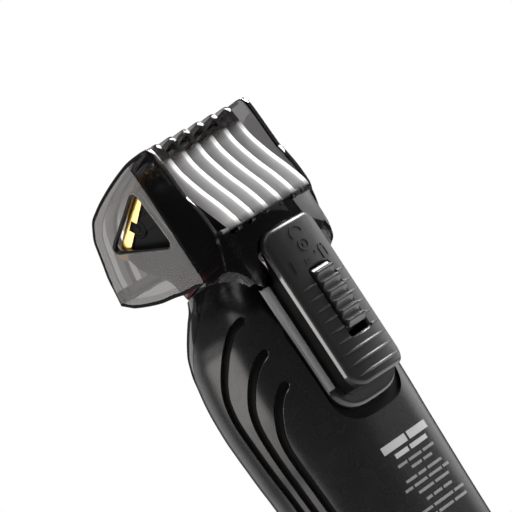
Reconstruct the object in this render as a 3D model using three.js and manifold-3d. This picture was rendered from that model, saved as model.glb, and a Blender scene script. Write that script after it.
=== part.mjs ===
// Cordless body groomer with a sliding smoke-coloured comb guide.
// Millimetres. +Z runs along the handle towards the cutting head, the origin is the centre of the
// flat bottom face. +Y (back) is the thumb-plate side, -Y (front) the power-switch side, and
// pieces named "left" lie at +X.
import * as THREE from "three";
import { mergeVertices } from "three/addons/utils/BufferGeometryUtils.js";
import Module from "manifold-3d";

const wasm = await Module();
wasm.setup();

// ---------------------------------------------------------------- driving dimensions
const WALL = 1.6;              // handle shell thickness
const BODY_EXPONENT = 2.8;     // superellipse exponent of the handle section
const SEAM_GAP = 0.15;         // each shell stands this far off the parting line
const NECK = { z: 139.4, slope: 0.15 };   // neck parting plane: height on the axis, dz/dy
const BOSS = { x: 6, z: 22 };  // housing screws
const CHANNEL = { half: 12.4, floor: 13.6, low: 97.2, endDepth: 7 };   // comb tongue's channel
const TONGUE = { half: CHANNEL.half - 0.4, bottom: CHANNEL.floor + 0.3 };
const JACK_Y = -6.2;
const INDICATOR_Z = 83;
const BLADE = { tilt: 35 * Math.PI / 180, y: -9.5, z: 154.5, half: 16.5, thickness: 1.0 };
const BLADE_SCREW = { x: 9, u: 3.4 };
const TOOTH = { pitch: 2.2, rootWidth: 1.4, tipWidth: 0.7 };
const MOTOR = { y: 1.5, radius: 10, flat: 7.7, low: 99.5, high: 129.5, wall: 0.8, screwX: 6.2 };
const THROW = 1.25;            // eccentric offset, half of the cutter stroke
const CELL = { radius: 7.15, low: 36, high: 86, x: 7.45 };
const COMB = { half: 19.0, wall: 1.6 };
const FIN = { count: 8, pitch: 5.2, thickness: 1.5 };
const PLATE = { half: 9.4, low: 103.3, high: 141.2, base: 15.6 };

// handle half-sizes by height: [z, half width x, depth towards -y, depth towards +y]
const BODY = [
  [0, 15.6, 11.2, 10.6], [1, 17.2, 12.4, 12.2], [2.5, 18.1, 13.1, 13.1], [5, 18.7, 13.5, 13.7],
  [8, 18.9, 13.65, 13.9], [20, 19.1, 13.8, 14.1], [40, 19.4, 14.0, 14.4], [66, 19.8, 14.3, 14.8],
  [74.6, 20.0, 14.45, 14.95], [85, 20.45, 14.75, 15.1], [92.8, 20.8, 15.0, 15.25],
  [96.7, 21.1, 15.25, 15.3], [100.8, 21.35, 15.4, 15.3], [104.8, 21.55, 15.55, 15.3],
  [109, 21.7, 15.65, 15.3], [114.7, 21.5, 15.5, 15.2], [118.4, 21.1, 15.25, 15.1],
  [121.6, 20.55, 14.85, 14.9], [124.3, 20.1, 14.5, 14.6], [126.4, 19.45, 14.05, 14.3],
  [128.3, 18.75, 13.55, 13.9], [130, 17.8, 12.85, 13.4], [132.5, 16.1, 11.6, 12.4],
  [134.7, 14.4, 10.4, 11.4], [136.9, 12.6, 9.1, 10.3], [139.5, 11.5, 8.3, 9.5],
  [144, 11.1, 8.0, 9.1],
];
// heights of the rings the handle's outside and inside are lofted through
const OUTER_HEIGHTS = [8.3, 20, 40, 66, 85, 96.7, 104.8, 109, 114.7, 118.4, 121.6, 124.3, 126.4,
  128.3, 130, 132.5, 134.7, 136.9, 139.5, 143];
const INNER_HEIGHTS = [7, 40, 85, 100.8, 109, 118.4, 124.3, 128.3, 132.5, 136.9, 139.5, 144];
// parting line between the front and back shells: [z, y]
const SEAM = [
  [-5, -11.6], [112, -11.6], [117.5, -11.3], [120.8, -10.6], [123.6, -8.9], [126.2, -6.9],
  [129.7, -4.6], [131.8, -2.9], [134.1, -1.6], [135.8, -0.4], [137.7, 0.9], [138.7, 2.6],
  [141, 5.5], [150, 12],
];
// three sweeping grooves on each side of the back shell: [y, z]
const GROOVES = [
  [[9.9, 129.0], [7.0, 128.0], [5.1, 126.1], [2.5, 123.2], [0, 120.1], [-1.6, 117.2],
    [-2.4, 114.4], [-2.8, 111.4], [-2.8, 107.5], [-2.7, 99.7], [-2.4, 93], [-2, 84],
    [-1.2, 70], [0.2, 50], [2.2, 32]],
  [[11.2, 120.7], [9.25, 119.5], [6.8, 117.2], [4.7, 114.6], [2.95, 112], [1.9, 109.2],
    [1.3, 106.2], [1.0, 102.3], [0.9, 97], [1.0, 88.4], [1.6, 74], [2.8, 54], [4.4, 38]],
  [[11.6, 112.7], [10.0, 111.6], [8.1, 109.2], [6.6, 106.5], [5.4, 104], [4.7, 101],
    [4.5, 97], [4.6, 88], [5.0, 76], [5.8, 60], [6.8, 46]],
];

// ---------------------------------------------------------------- solids from meshes
// drops collapsed triangles and turns the faces outwards
function solidFrom(positions, indices) {
  const corner = (i) => new THREE.Vector3().fromArray(positions, 3 * i);
  const faces = [];
  let volume = 0;
  for (let i = 0; i < indices.length; i += 3) {
    const [a, b, c] = indices.slice(i, i + 3);
    if (a === b || b === c || a === c) continue;
    faces.push([a, b, c]);
    volume += corner(a).dot(corner(b).cross(corner(c)));
  }
  if (volume < 0) faces.forEach((face) => face.reverse());
  return new wasm.Manifold(new wasm.Mesh({
    numProp: 3,
    vertProperties: new Float32Array(positions),
    triVerts: new Uint32Array(faces.flat()),
  }));
}
function solid(geometry) {
  geometry.deleteAttribute("normal");
  geometry.deleteAttribute("uv");
  const welded = mergeVertices(geometry, 1e-4);
  return solidFrom(welded.attributes.position.array, welded.index.array);
}
function geometryOf(manifold) {
  const mesh = manifold.getMesh();
  const geometry = new THREE.BufferGeometry();
  geometry.setAttribute("position", new THREE.Float32BufferAttribute(mesh.vertProperties, 3));
  geometry.setIndex(new THREE.Uint32BufferAttribute(mesh.triVerts, 1));
  geometry.computeVertexNormals();
  return geometry;
}
const union = (...parts) => parts.reduce((sum, part) => sum.add(part));
// a solid together with its mirror image in x
const pair = (part) => part.add(part.mirror([1, 0, 0]));

// ---------------------------------------------------------------- outlines
// closes the +x half of an outline with its mirror image; middle holds points on x = 0
function symmetric(half, middle = []) {
  return [...half, ...middle, ...half.map(([x, y]) => [-x, y]).reverse()];
}
function circle(x, y, radius, count = 12) {
  return Array.from({ length: count }, (_, i) => {
    const angle = 2 * Math.PI * i / count;
    return [x + radius * Math.cos(angle), y + radius * Math.sin(angle)];
  });
}
// superellipse with its own depth towards -y (front) and +y (back)
function section([halfX, front, back], { exponent = BODY_EXPONENT, count = 36 } = {}) {
  const bulge = (v) => (Math.abs(v) < 1e-9 ? 0 : Math.sign(v) * Math.abs(v) ** (2 / exponent));
  return Array.from({ length: count }, (_, i) => {
    const angle = 2 * Math.PI * i / count;
    const sine = Math.sin(angle);
    return [halfX * bulge(Math.cos(angle)), (sine > 0 ? back : front) * bulge(sine)];
  });
}
function roundedRect([x0, x1], [y0, y1], radius, segments = 4) {
  const corners = [
    [x1 - radius, y0 + radius, -90], [x1 - radius, y1 - radius, 0],
    [x0 + radius, y1 - radius, 90], [x0 + radius, y0 + radius, 180],
  ];
  return corners.flatMap(([x, y, start]) => Array.from({ length: segments + 1 }, (_, i) => {
    const angle = (start + 90 * i / segments) * Math.PI / 180;
    return [x + radius * Math.cos(angle), y + radius * Math.sin(angle)];
  }));
}
// polygon with its corners rounded by quadratic curves
function roundedPolygon(points, radius, segments = 3) {
  const corners = points.map((p) => new THREE.Vector2(...p));
  return corners.flatMap((corner, i) => {
    const before = corners[(i + corners.length - 1) % corners.length];
    const after = corners[(i + 1) % corners.length];
    const toBefore = before.clone().sub(corner).normalize();
    const toAfter = after.clone().sub(corner).normalize();
    const setback = radius / Math.tan(Math.acos(toBefore.dot(toAfter)) / 2);
    const curve = new THREE.QuadraticBezierCurve(
      corner.clone().addScaledVector(toBefore, setback),
      corner,
      corner.clone().addScaledVector(toAfter, setback),
    );
    return curve.getPoints(segments).map((p) => p.toArray());
  });
}
// strip in (x, z) running up from a blunt rounded lower end
function roundEndedStrip({ half, centre, depth, steps, top }) {
  const end = Array.from({ length: steps + 1 }, (_, i) => {
    const angle = Math.PI + Math.PI * i / steps;
    const cosine = Math.cos(angle);
    return [half * Math.sign(cosine) * Math.abs(cosine) ** 0.6, centre + depth * Math.sin(angle)];
  });
  return [...end, [half, top], [-half, top]];
}

// ---------------------------------------------------------------- basic solids
// where a prism's (p, q, extrusion) axes go
const PRISM_FRAME = {
  x: new THREE.Matrix4().set(0, 0, 1, 0, 1, 0, 0, 0, 0, 1, 0, 0, 0, 0, 0, 1),
  y: new THREE.Matrix4().set(1, 0, 0, 0, 0, 0, -1, 0, 0, 1, 0, 0, 0, 0, 0, 1),
  z: new THREE.Matrix4(),
};
const vectors = (points) => points.map(([x, y]) => new THREE.Vector2(x, y));
// prism of a polygon: along x the polygon is (y, z), along y it is (x, z), along z it is (x, y)
function prism(axis, points, [low, high], holes = []) {
  const outline = vectors(points);
  if (THREE.ShapeUtils.isClockWise(outline)) outline.reverse();
  const shape = new THREE.Shape(outline);
  shape.holes = holes.map((hole) => new THREE.Path(vectors(hole)));
  const geometry = new THREE.ExtrudeGeometry(shape, { depth: high - low, bevelEnabled: false });
  const shift = { x: [low, 0, 0], y: [0, high, 0], z: [0, 0, low] }[axis];
  return solid(geometry.applyMatrix4(PRISM_FRAME[axis]).translate(...shift));
}
function boxGeometry([x0, x1], [y0, y1], [z0, z1]) {
  return new THREE.BoxGeometry(x1 - x0, y1 - y0, z1 - z0)
    .translate((x0 + x1) / 2, (y0 + y1) / 2, (z0 + z1) / 2);
}
const box = (...ranges) => solid(boxGeometry(...ranges));
// the centre is (x, y) for axis z and (x, z) for axis y
function cylinderGeometry(axis, radius, [low, high], [p, q] = [0, 0], segments = 16) {
  const geometry = new THREE.CylinderGeometry(radius, radius, high - low, segments);
  const middle = (low + high) / 2;
  if (axis === "y") return geometry.translate(p, middle, q);
  return geometry.rotateX(Math.PI / 2).translate(p, q, middle);
}
const cylinder = (...args) => solid(cylinderGeometry(...args));
// turned piece about z; the profile is [radius, z] from the axis and back to it
function turned(profile, segments = 20) {
  return solid(new THREE.LatheGeometry(vectors(profile), segments).rotateX(Math.PI / 2));
}
// closed loft through rings of equal length, all wound the same way;
// capFaces lists the end triangles where the ends cannot be triangulated from above
function loft(rings, capFaces) {
  const count = rings[0].length;
  const last = rings.length - 1;
  const indices = [];
  for (let i = 0; i < last; i++) for (let j = 0; j < count; j++) {
    const a = i * count + j;
    const b = i * count + (j + 1) % count;
    indices.push(a, b, b + count, a, b + count, a + count);
  }
  for (const end of [0, last]) {
    const faces = capFaces ?? THREE.ShapeUtils.triangulateShape(vectors(rings[end]), []);
    for (const face of faces) {
      const corners = face.map((k) => end * count + k);
      indices.push(...(end === 0 ? corners.reverse() : corners));
    }
  }
  return solidFrom(rings.flat(2), indices);
}
const ring = (z, sizes, options) => section(sizes, options).map(([x, y]) => [x, y, z]);
// straight superellipse column
const column = (range, sizes, options) => loft(range.map((z) => ring(z, sizes, options)));
const inset = (sizes, distance) => sizes.map((size) => size - distance);
// round wire along a curve
function wire(curve, { radius, steps, sides = 6 }) {
  const shape = new THREE.Shape(vectors(circle(0, 0, radius, sides)));
  return solid(new THREE.ExtrudeGeometry(shape,
    { steps, extrudePath: curve, bevelEnabled: false }));
}
const curveThrough = (points) =>
  new THREE.CatmullRomCurve3(points.map((p) => new THREE.Vector3(...p)));

// ---------------------------------------------------------------- materials
const finish = (settings) => new THREE.MeshStandardMaterial(settings);
const MATERIAL = {
  satinBlack: finish({ color: 0x17181b, roughness: 0.35 }),
  glossBlack: finish({ color: 0x0b0b0d, roughness: 0.12 }),
  matteBlack: finish({ color: 0x1b1b1c, roughness: 0.6 }),
  headBlack: finish({ color: 0x101011, roughness: 0.4 }),
  smoke: finish({ color: 0x5a5c5e, roughness: 0.1, transparent: true, opacity: 0.55 }),
  red: finish({ color: 0x7a1018, roughness: 0.25, metalness: 0.9 }),
  gold: finish({ color: 0xc9973a, roughness: 0.25, metalness: 1 }),
  steel: finish({ color: 0xb9bbbd, roughness: 0.3, metalness: 1 }),
  darkSteel: finish({ color: 0x77797c, roughness: 0.35, metalness: 1 }),
  copper: finish({ color: 0xb36b3c, roughness: 0.35, metalness: 1 }),
  board: finish({ color: 0x1f5c3a, roughness: 0.5 }),
  cell: finish({ color: 0x3f7f5a, roughness: 0.35 }),
  nickel: finish({ color: 0xc9c6bd, roughness: 0.3, metalness: 1 }),
  nylon: finish({ color: 0xd8d6cf, roughness: 0.5 }),
  carrier: finish({ color: 0xe3e0d6, roughness: 0.5 }),
  rubber: finish({ color: 0x222222, roughness: 0.8 }),
  magnet: finish({ color: 0x3a3a3d, roughness: 0.7, metalness: 0.2 }),
  chassis: finish({ color: 0x2a2b2e, roughness: 0.55 }),
  ledGreen: finish({ color: 0x9fe0a8, roughness: 0.2 }),
  redWire: finish({ color: 0xa02020, roughness: 0.5 }),
  blackWire: finish({ color: 0x111111, roughness: 0.5 }),
};

// ================================================================ handle
// [half width, front depth, back depth] at height z
function bodySizes(z) {
  let i = 0;
  while (i < BODY.length - 2 && z > BODY[i + 1][0]) i++;
  const [low, high] = [BODY[i], BODY[i + 1]];
  const t = Math.min(1, Math.max(0, (z - low[0]) / (high[0] - low[0])));
  return low.map((value, k) => value + t * (high[k] - value)).slice(1);
}
const outer = loft(OUTER_HEIGHTS.map((z) => ring(z, bodySizes(z))));
const inner = loft(INNER_HEIGHTS.map((z) => ring(z, inset(bodySizes(z), WALL), { count: 28 })));

// everything above the neck parting plane raised by rise
function aboveNeck(rise) {
  const reach = 40;
  const z = NECK.z + rise;
  const drop = reach * NECK.slope;
  return prism("x", [[-reach, z - drop], [reach, z + drop], [reach, 190], [-reach, 190]],
    [-reach, reach]);
}
// everything on the +y side of the parting line moved by shift
function behindSeam(shift) {
  return prism("x", [[60, -5], ...SEAM.map(([z, y]) => [y + shift, z]), [60, 150]], [-40, 40]);
}
const screwCylinders = (radius, range, segments) =>
  pair(cylinder("y", radius, range, [BOSS.x, BOSS.z], segments));

// tapered wedge swept just under the +x surface
function grooveCutter(line) {
  const surface = line.map(([y, z]) => {
    const [halfX, front, back] = bodySizes(z);
    const depth = y > 0 ? back : front;
    const ratio = Math.abs(y / depth);
    const x = halfX * (1 - ratio ** BODY_EXPONENT) ** (1 / BODY_EXPONENT);
    const normalX = (x / halfX) ** (BODY_EXPONENT - 1) / halfX;
    const normalY = Math.sign(y) * ratio ** (BODY_EXPONENT - 1) / depth;
    return {
      point: new THREE.Vector3(x, y, z),
      normal: new THREE.Vector3(normalX, normalY, 0).normalize(),
    };
  });
  const last = surface.length - 1;
  const rings = surface.map(({ point, normal }, i) => {
    const previous = surface[Math.max(0, i - 1)].point;
    const next = surface[Math.min(last, i + 1)].point;
    const along = next.clone().sub(previous).normalize();
    const across = normal.clone().cross(along).normalize();
    const taper = i === 0 || i === last ? 0.25 : 1;
    // [across, outwards] offsets of the wedge's corners
    const wedge = [
      [-0.75 * taper, 0.6], [-0.35 * taper, -0.75 * taper],
      [0.35 * taper, -0.75 * taper], [0.75 * taper, 0.6],
    ];
    return wedge.map(([sideways, outwards]) => point.clone()
      .addScaledVector(across, sideways).addScaledVector(normal, outwards).toArray());
  });
  return loft(rings, [[0, 1, 2], [0, 2, 3]]);
}

function backHousing() {
  const channelBed = box([-14, 14], [CHANNEL.floor - 1.7, 40], [94, 150]);
  const channel = prism("y", roundEndedStrip({
    half: CHANNEL.half, centre: CHANNEL.low + CHANNEL.endDepth, depth: CHANNEL.endDepth,
    steps: 12, top: 150,
  }), [CHANNEL.floor, 30]);
  const footSlot = box([-2.2, 2.2], [10, 16], [102.5, 129.9]);
  return outer.subtract(inner.subtract(channelBed))
    .add(screwCylinders(3.4, [2.2, 20], 16).intersect(outer))
    .intersect(behindSeam(SEAM_GAP))
    .subtract(channel)
    .subtract(footSlot)
    .subtract(screwCylinders(1.3, [0, 20], 12))
    .subtract(screwCylinders(2.6, [8.2, 20], 16))
    .subtract(union(...GROOVES.map((line) => pair(grooveCutter(line)))))
    .subtract(aboveNeck(0));
}

function frontHousing() {
  const bosses = screwCylinders(2.7, [-20, 1.8], 16);
  const switchRecess = prism("y", roundedRect([-6.4, 6.4], [88.4, 113.6], 3), [-25, -14.7]);
  const switchSlot = box([-2.3, 2.3], [-25, -10], [96.5, 107.5]);
  const indicatorHole = cylinder("y", 1.5, [-20, -10], [0, INDICATOR_Z], 12);
  return outer.subtract(inner)
    .add(bosses.intersect(outer))
    .subtract(behindSeam(-SEAM_GAP).subtract(bosses))
    .subtract(screwCylinders(1.05, [-10, 20], 12))
    .subtract(switchRecess)
    .subtract(switchSlot)
    .subtract(indicatorHole)
    .subtract(aboveNeck(0));
}

function baseCap() {
  const shell = loft([0, 1, 2.5, 5, 8].map((z) => ring(z, bodySizes(z))));
  const spigot = (distance, range) => column(range, inset(bodySizes(8), distance), { count: 28 });
  return shell.add(spigot(1.95, [4, 11.5]))
    .subtract(spigot(3.3, [3, 20]))
    .subtract(cylinder("z", 2.9, [-1, 5], [0, JACK_Y], 20))
    .subtract(cylinder("z", 4.0, [1.2, 5], [0, JACK_Y], 20));
}

const chargingJack = () =>
  turned([[0, 9.5], [3.85, 9.5], [3.85, 1.4], [2.8, 1.4], [2.8, 8.2], [0, 8.2]]);
const jackPin = () => turned([[0, 2.2], [0.65, 2.2], [0.65, 8.2], [0, 8.2]], 10);

function neckRing() {
  const options = { exponent: 2.6, count: 40 };
  return prism("z", section([11.6, 8.5, 9.7], options), [0, 2.2],
    [section([9.3, 6.6, 7.5], options)]);
}

function housingScrew() {
  const body = turned([[0, -4.5], [0.98, -4.5], [0.98, 8.35], [2.3, 8.35], [2.3, 9.6],
    [1.8, 10.1], [0, 10.1]], 14);
  const long = [-1.5, 1.5];
  const narrow = [-0.3, 0.3];
  const depth = [9.5, 10.5];
  return body.subtract(box(long, narrow, depth)).subtract(box(narrow, long, depth));
}

// ================================================================ cutting head
// head stations: [z, half width x, depth towards -y, depth towards +y, exponent]
const HEAD = [
  [139, 11.0, 8.1, 9.3, 2.6], [144, 12.0, 8.8, 10.2, 2.8], [147.5, 14.6, 9.6, 11.4, 3.4],
  [150.5, 16.2, 9.9, 11.8, 4.5], [155, 16.4, 9.9, 10.9, 6], [159, 16.4, 9.9, 9.2, 6],
  [162, 16.4, 9.9, 7.2, 6], [164, 16.4, 9.9, 5.2, 6], [169, 16.4, 9.9, 1.2, 6],
];
const HEAD_WALL = 1.6;
const HEAD_MOUTH = [7.6, 5.0, 5.8];   // half-sizes of the cavity's lowest ring

// the blade frame: x across, u up the slope, w out of it
const bladeFrame = new THREE.Matrix4().makeRotationX(BLADE.tilt).setPosition(0, BLADE.y, BLADE.z);
const slanted = (geometry) => solid(geometry.applyMatrix4(bladeFrame));
const slantedBox = (...ranges) => slanted(boxGeometry(...ranges));

function headFrame() {
  const outside = loft(HEAD.map(([z, halfX, front, back, exponent]) =>
    ring(z, [halfX, front, back], { exponent })));
  const cavity = loft(HEAD.map(([z, halfX, front, back, exponent], i) =>
    ring(z, i ? inset([halfX, front, back], HEAD_WALL) : HEAD_MOUTH, { exponent, count: 28 })));
  const neckOptions = { exponent: 2.6, count: 28 };
  const neckTube = column([136.6, 144.2], [8.8, 6.2, 7.0], neckOptions)
    .subtract(column([136, 145], [7.4, 4.9, 5.7], neckOptions));
  const screwBlocks = pair(slantedBox([6.9, 11.4], [-4, 5.4], [-6.6, 6]));
  // side ledges that carry the fixed blade
  const ledges = pair(slantedBox([14.9, 18], [-4, 18], [-3.5, 6]));
  const { x, u } = BLADE_SCREW;
  return outside.intersect(aboveNeck(2.8)).subtract(cavity)
    .add(neckTube)
    .add(screwBlocks.add(ledges).intersect(outside))
    .subtract(slantedBox([-25, 25], [-20, 40], [-1.15, 40]))
    .subtract(slantedBox([-14.8, 14.8], [8.0, 40], [-2.15, 10]))
    .subtract(pair(slanted(cylinderGeometry("z", 0.95, [-9, 2], [x, u], 12))));
}

// toothed blade outline in (x, u); notch lists points on the +x edge
function bladeOutline({ half, low, root, tip, teeth, notch = [] }) {
  const { pitch, rootWidth, tipWidth } = TOOTH;
  const edge = [[half, low], ...notch, [half, root]];
  const toothLine = [];
  for (let i = teeth - 1; i >= 0; i--) {
    const x = (i - (teeth - 1) / 2) * pitch;
    toothLine.push([x + rootWidth / 2, root], [x + tipWidth / 2, tip],
      [x - tipWidth / 2, tip], [x - rootWidth / 2, root]);
  }
  return symmetric(edge, toothLine);
}
const bladeHoles = (radius) =>
  [-1, 1].map((side) => circle(side * BLADE_SCREW.x, BLADE_SCREW.u, radius));

function fixedBlade() {
  const { half, thickness } = BLADE;
  const notch = [[half, 7.6], [half - 1.1, 8.0], [half - 1.1, 9.6], [half, 10.0]];
  const outline = bladeOutline({ half, low: 0, root: 17.2, tip: 20.2, teeth: 15, notch });
  return prism("z", outline, [-thickness, 0], bladeHoles(1.05));
}
function movingBlade() {
  const outline = bladeOutline({ half: 13.3, low: 9.0, root: 16.6, tip: 19.2, teeth: 12 });
  return prism("z", outline, [-1.95, -1.1]);
}
// slanted block with two prongs either side of the eccentric pin
const cutterCarrier = () => slantedBox([-8.8, 8.8], [9.6, 15.4], [-6.5, -2.0])
  .add(pair(box([3.6, 5.4], [0.3, 5.0], [150.4, 157.6])));
// cross strip with two upright arms
function bladeSpring() {
  const half = [[11.2, 1.2], [11.2, 5.2], [9.5, 5.2], [9.5, 14], [7.3, 14], [7.3, 5.2]];
  return prism("z", symmetric(half), [-7.15, -6.75], bladeHoles(1.0));
}
const bladeScrew = () =>
  turned([[0, -7.9], [0.85, -7.9], [0.85, 0.05], [1.9, 0.05], [1.7, 0.85], [0, 0.85]], 14)
    .subtract(box([-1.3, 1.3], [-0.25, 0.25], [0.55, 1.15]));

// ================================================================ drive
// cylinder about the motor axis, cut flat on its -y and +y sides
function flatSided(radius, flat, [low, high]) {
  return cylinder("z", radius, [low, high], [0, MOTOR.y], 24).intersect(box(
    [-radius - 1, radius + 1], [MOTOR.y - flat, MOTOR.y + flat], [low - 1, high + 1]));
}
function motorCan() {
  const { y, radius, flat, low, high, wall, screwX } = MOTOR;
  return flatSided(radius, flat, [low, high])
    .subtract(flatSided(radius - wall, flat - wall, [low - 1, high - 1.2]))
    .subtract(cylinder("z", 1.12, [120, 135], [0, y], 12))
    .subtract(pair(cylinder("z", 0.8, [120, 135], [screwX, y], 8)));
}
const motorEndCap = () => flatSided(MOTOR.radius, MOTOR.flat, [MOTOR.low - 2.2, MOTOR.low])
  .subtract(cylinder("z", 1.12, [90, 105], [0, MOTOR.y], 12));
// arc-shaped magnet; side is 1 for +x, -1 for -x
function magnet(side) {
  const arc = (radius) => Array.from({ length: 7 }, (_, i) => {
    const angle = (-42 + 14 * i) * Math.PI / 180;
    return [side * radius * Math.cos(angle), MOTOR.y + radius * Math.sin(angle)];
  });
  return prism("z", [...arc(9.0), ...arc(7.3).reverse()], [106, 127]);
}

// rotor pieces are drawn about their own axis
const motorShaft = () => turned([[0, 96.2], [1.0, 96.2], [1.0, 140.6], [0, 140.6]], 12);
// three-pole armature with a bore for the shaft
function armature() {
  const polar = (radius, angle) => [radius * Math.cos(angle), radius * Math.sin(angle)];
  const outline = [];
  for (let k = 0; k < 3; k++) {
    const pole = 2 * Math.PI * k / 3;
    for (const degrees of [-50, -30, -10, 10, 30, 50]) {
      outline.push(polar(6.9, pole + degrees * Math.PI / 180));
    }
    const gap = pole + Math.PI / 3;
    outline.push(polar(3.6, gap - 0.35), polar(3.6, gap + 0.35));
  }
  return prism("z", outline, [107.5, 125], [circle(0, 0, 1.05)]);
}
const commutator = () => prism("z", circle(0, 0, 2.6), [100.4, 106.5], [circle(0, 0, 1.05)]);
const driveEccentric = () => turned([[0, 136.9], [3.1, 136.9], [3.1, 142.2], [0, 142.2]], 16)
  .subtract(cylinder("z", 1.05, [130, 140.8], [0, 0], 12))
  .add(cylinder("z", 0.9, [142, 154.2], [THROW, 0], 12));

function motorMount() {
  const { y, screwX } = MOTOR;
  const outline = section([12.4, 7.6, 7.6], { count: 28 }).map(([px, py]) => [px, py + 1.2]);
  const holes = [circle(0, y, 1.3), circle(-screwX, y, 0.85, 8), circle(screwX, y, 0.85, 8)];
  return prism("z", outline, [129.7, 131.4], holes);
}
const motorScrew = () => turned([[0, 127.8], [0.72, 127.8], [0.72, 131.5], [1.5, 131.5],
  [1.3, 132.4], [0, 132.4]], 10);
const driveSeal = () =>
  prism("z", circle(0, MOTOR.y, 4.4, 20), [131.5, 133.4], [circle(0, MOTOR.y, 1.15)]);

// ================================================================ power
const batteryCell = () => turned([[0, 0], [CELL.radius, 0], [CELL.radius, 48.6], [6.6, 49],
  [2.7, 49], [2.7, 50], [0, 50]]);

// long floor with three cross walls
function chassis() {
  const wallDepth = [-8.5, 6.5];
  return union(
    box([-13.2, 13.2], [-9.0, -7.8], [33, 112]),
    box([-8, 8], [-9.0, -7.8], [112, 127.5]),
    box([-13.2, 13.2], wallDepth, [33, 34.4]),
    box([-13.2, 13.2], wallDepth, [88.2, 89.6]),
    box([-7, 7], wallDepth, [94.8, 96.0]),
  )
    .subtract(cylinder("z", 1.8, [94, 97], [0, MOTOR.y], 12))
    .subtract(pair(box([9.2, 10.8], [-9.5, -7], [90.4, 94])));
}
const cellLink = () => box([-12.5, 12.5], [-4, 4], [35.0, 35.5]);
// tab over the +x cell with an upturned lug
const cellTab = () => box([2.5, 12.5], [-4, 4], [86.5, 87.0])
  .add(box([9.3, 10.7], [3.5, 4], [86.5, 88.0]));
// board with two components on each face
const circuitBoard = () => union(
  box([-8.6, 8.6], [-11.2, -10.0], [44, 110]),
  box([-6, -1], [-10.1, -9.2], [60, 66]),
  box([2, 5], [-10.1, -9.2], [70, 74]),
  box([-2, 3], [-12.0, -11.1], [62, 70]),
  box([-7, -4], [-12.0, -11.1], [50, 55]),
);
const switchBlock = () => box([-4.2, 4.2], [-13.2, -11.2], [95, 109]);
const chargeLed = () => box([-1.1, 1.1], [-12.4, -11.2], [INDICATOR_Z - 1.3, INDICATOR_Z + 1.3]);
const ledLens = () => turned([[0, 0], [1.4, 0], [1.4, 2.0], [0.9, 2.35], [0, 2.45]], 12);

// ribbed knob outside, actuator through the slot
function powerSwitch() {
  const ribs = [];
  for (let i = 0; i < 6; i++) {
    const z = 94.0 + i * 2.4;
    ribs.push([-16.6, z], [-17.5, z + 0.9], [-16.6, z + 1.8]);
  }
  const profile = [[-14.85, 91.4], [-16.2, 91.4], [-16.6, 92.4], ...ribs,
    [-16.6, 108.2], [-16.2, 109.0], [-14.85, 109.0]];
  const width = [-5.4, 5.4];
  return prism("x", profile, width)
    .intersect(prism("y", roundedRect(width, [91.4, 109.0], 2.4), [-20, -10]))
    .add(box([-1.9, 1.9], [-14.9, -13.35], [97.0, 103.2]));
}

// motor lead; side is 1 for +x, -1 for -x
function motorLead(side) {
  const path = [[10, -8.4, 92.2], [10, -6.5, 93.0], [9.6, -4.4, 94.2], [9.0, -2.6, 95.6],
    [8.2, -0.8, 96.6]];
  return wire(curveThrough(path.map(([x, y, z]) => [side * x, y, z])), { radius: 0.5, steps: 8 });
}
function jackLead() {
  const path = [[0, -9.6, 10.6], [0.5, -9.2, 18], [-1.5, -9.8, 28], [0, -10.4, 37],
    [0, -10.6, 43.2]];
  return wire(curveThrough(path), { radius: 0.6, steps: 10 });
}

// ================================================================ comb guide
// side view lines, all [y, z]: top and front edge of the walls and fins
const COMB_EDGE = [
  [12.9, 169.5], [9, 169.4], [5.2, 168.7], [1.0, 167.6], [-3.2, 166.2], [-6, 165], [-8.1, 163.9],
  [-9.5, 162.3], [-10.9, 160.2], [-11.6, 158.1], [-12.5, 154.9], [-13.4, 151.8],
  [-13.9, 148.6], [-14.4, 145.5],
];
const WALL_LOWER = [[-11.6, 143.5], [-8.8, 142.4], [-4.6, 141.1], [-0.4, 140.4], [2.4, 139.8],
  [5.9, 139.5], [7.95, 139.0], [11, 138.0]];
const WALL_BACK = [[15.2, 139], [16.6, 143], [17, 146.5], [16.6, 152], [16.2, 157], [15.8, 165.6]];
const WALL_WINDOW = [[5.7, 163.5], [6.8, 149.6], [-8.0, 155.8]];
// inner edge shared by all fins, then the back leg of the middle and of the outermost fins
const FIN_INNER = [
  [-12.5, 145.9], [-12.1, 148.2], [-11.5, 151.3], [-10.6, 154.4], [-9.7, 157.5], [-8.9, 159.2],
  [-7.8, 160.8], [-6.6, 162.0], [-5.0, 163.1], [-2.6, 164.3], [1.5, 165.7], [5.4, 166.9],
  [8.6, 167.3], [10.4, 166.3],
];
const MIDDLE_FIN_LEG = [
  [11.2, 161.6], [13.4, 156], [15.7, 151], [17.7, 146.4], [17.9, 144.6],
  [20.2, 144.6], [20.6, 146.5], [19.0, 151], [16.7, 156], [14.4, 161.6],
];
const OUTER_FIN_LEG = [
  [11.0, 161.6], [12.6, 156], [13.9, 151], [14.8, 146.4], [14.8, 144.6],
  [17.0, 144.6], [17.6, 146.5], [17.4, 151], [16.4, 156], [14.6, 161.6],
];
// crowned back panel: [z, y on the centre line, y at the edges]
const PANEL = [[131, 16.4, 16.2], [134, 17.4, 17.2], [137, 18.4, 17.3], [141, 19.6, 17.4],
  [146.6, 20.6, 17.6]];
// panel limits: +x half seen from the back [x, z], then seen from the side [y, z]
const PANEL_HALF = [[12.2, 131.6], [14.8, 133.2], [16.4, 135.2], [18.0, 137.6], [19.2, 139.0],
  [20, 139.4], [20, 148]];
const PANEL_SIDE = [[3.9, 139.9], [7.95, 139.0], [11, 138.0], [13.2, 136.4], [14, 134],
  [14, 120], [30, 120], [30, 160], [3.9, 160]];

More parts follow.
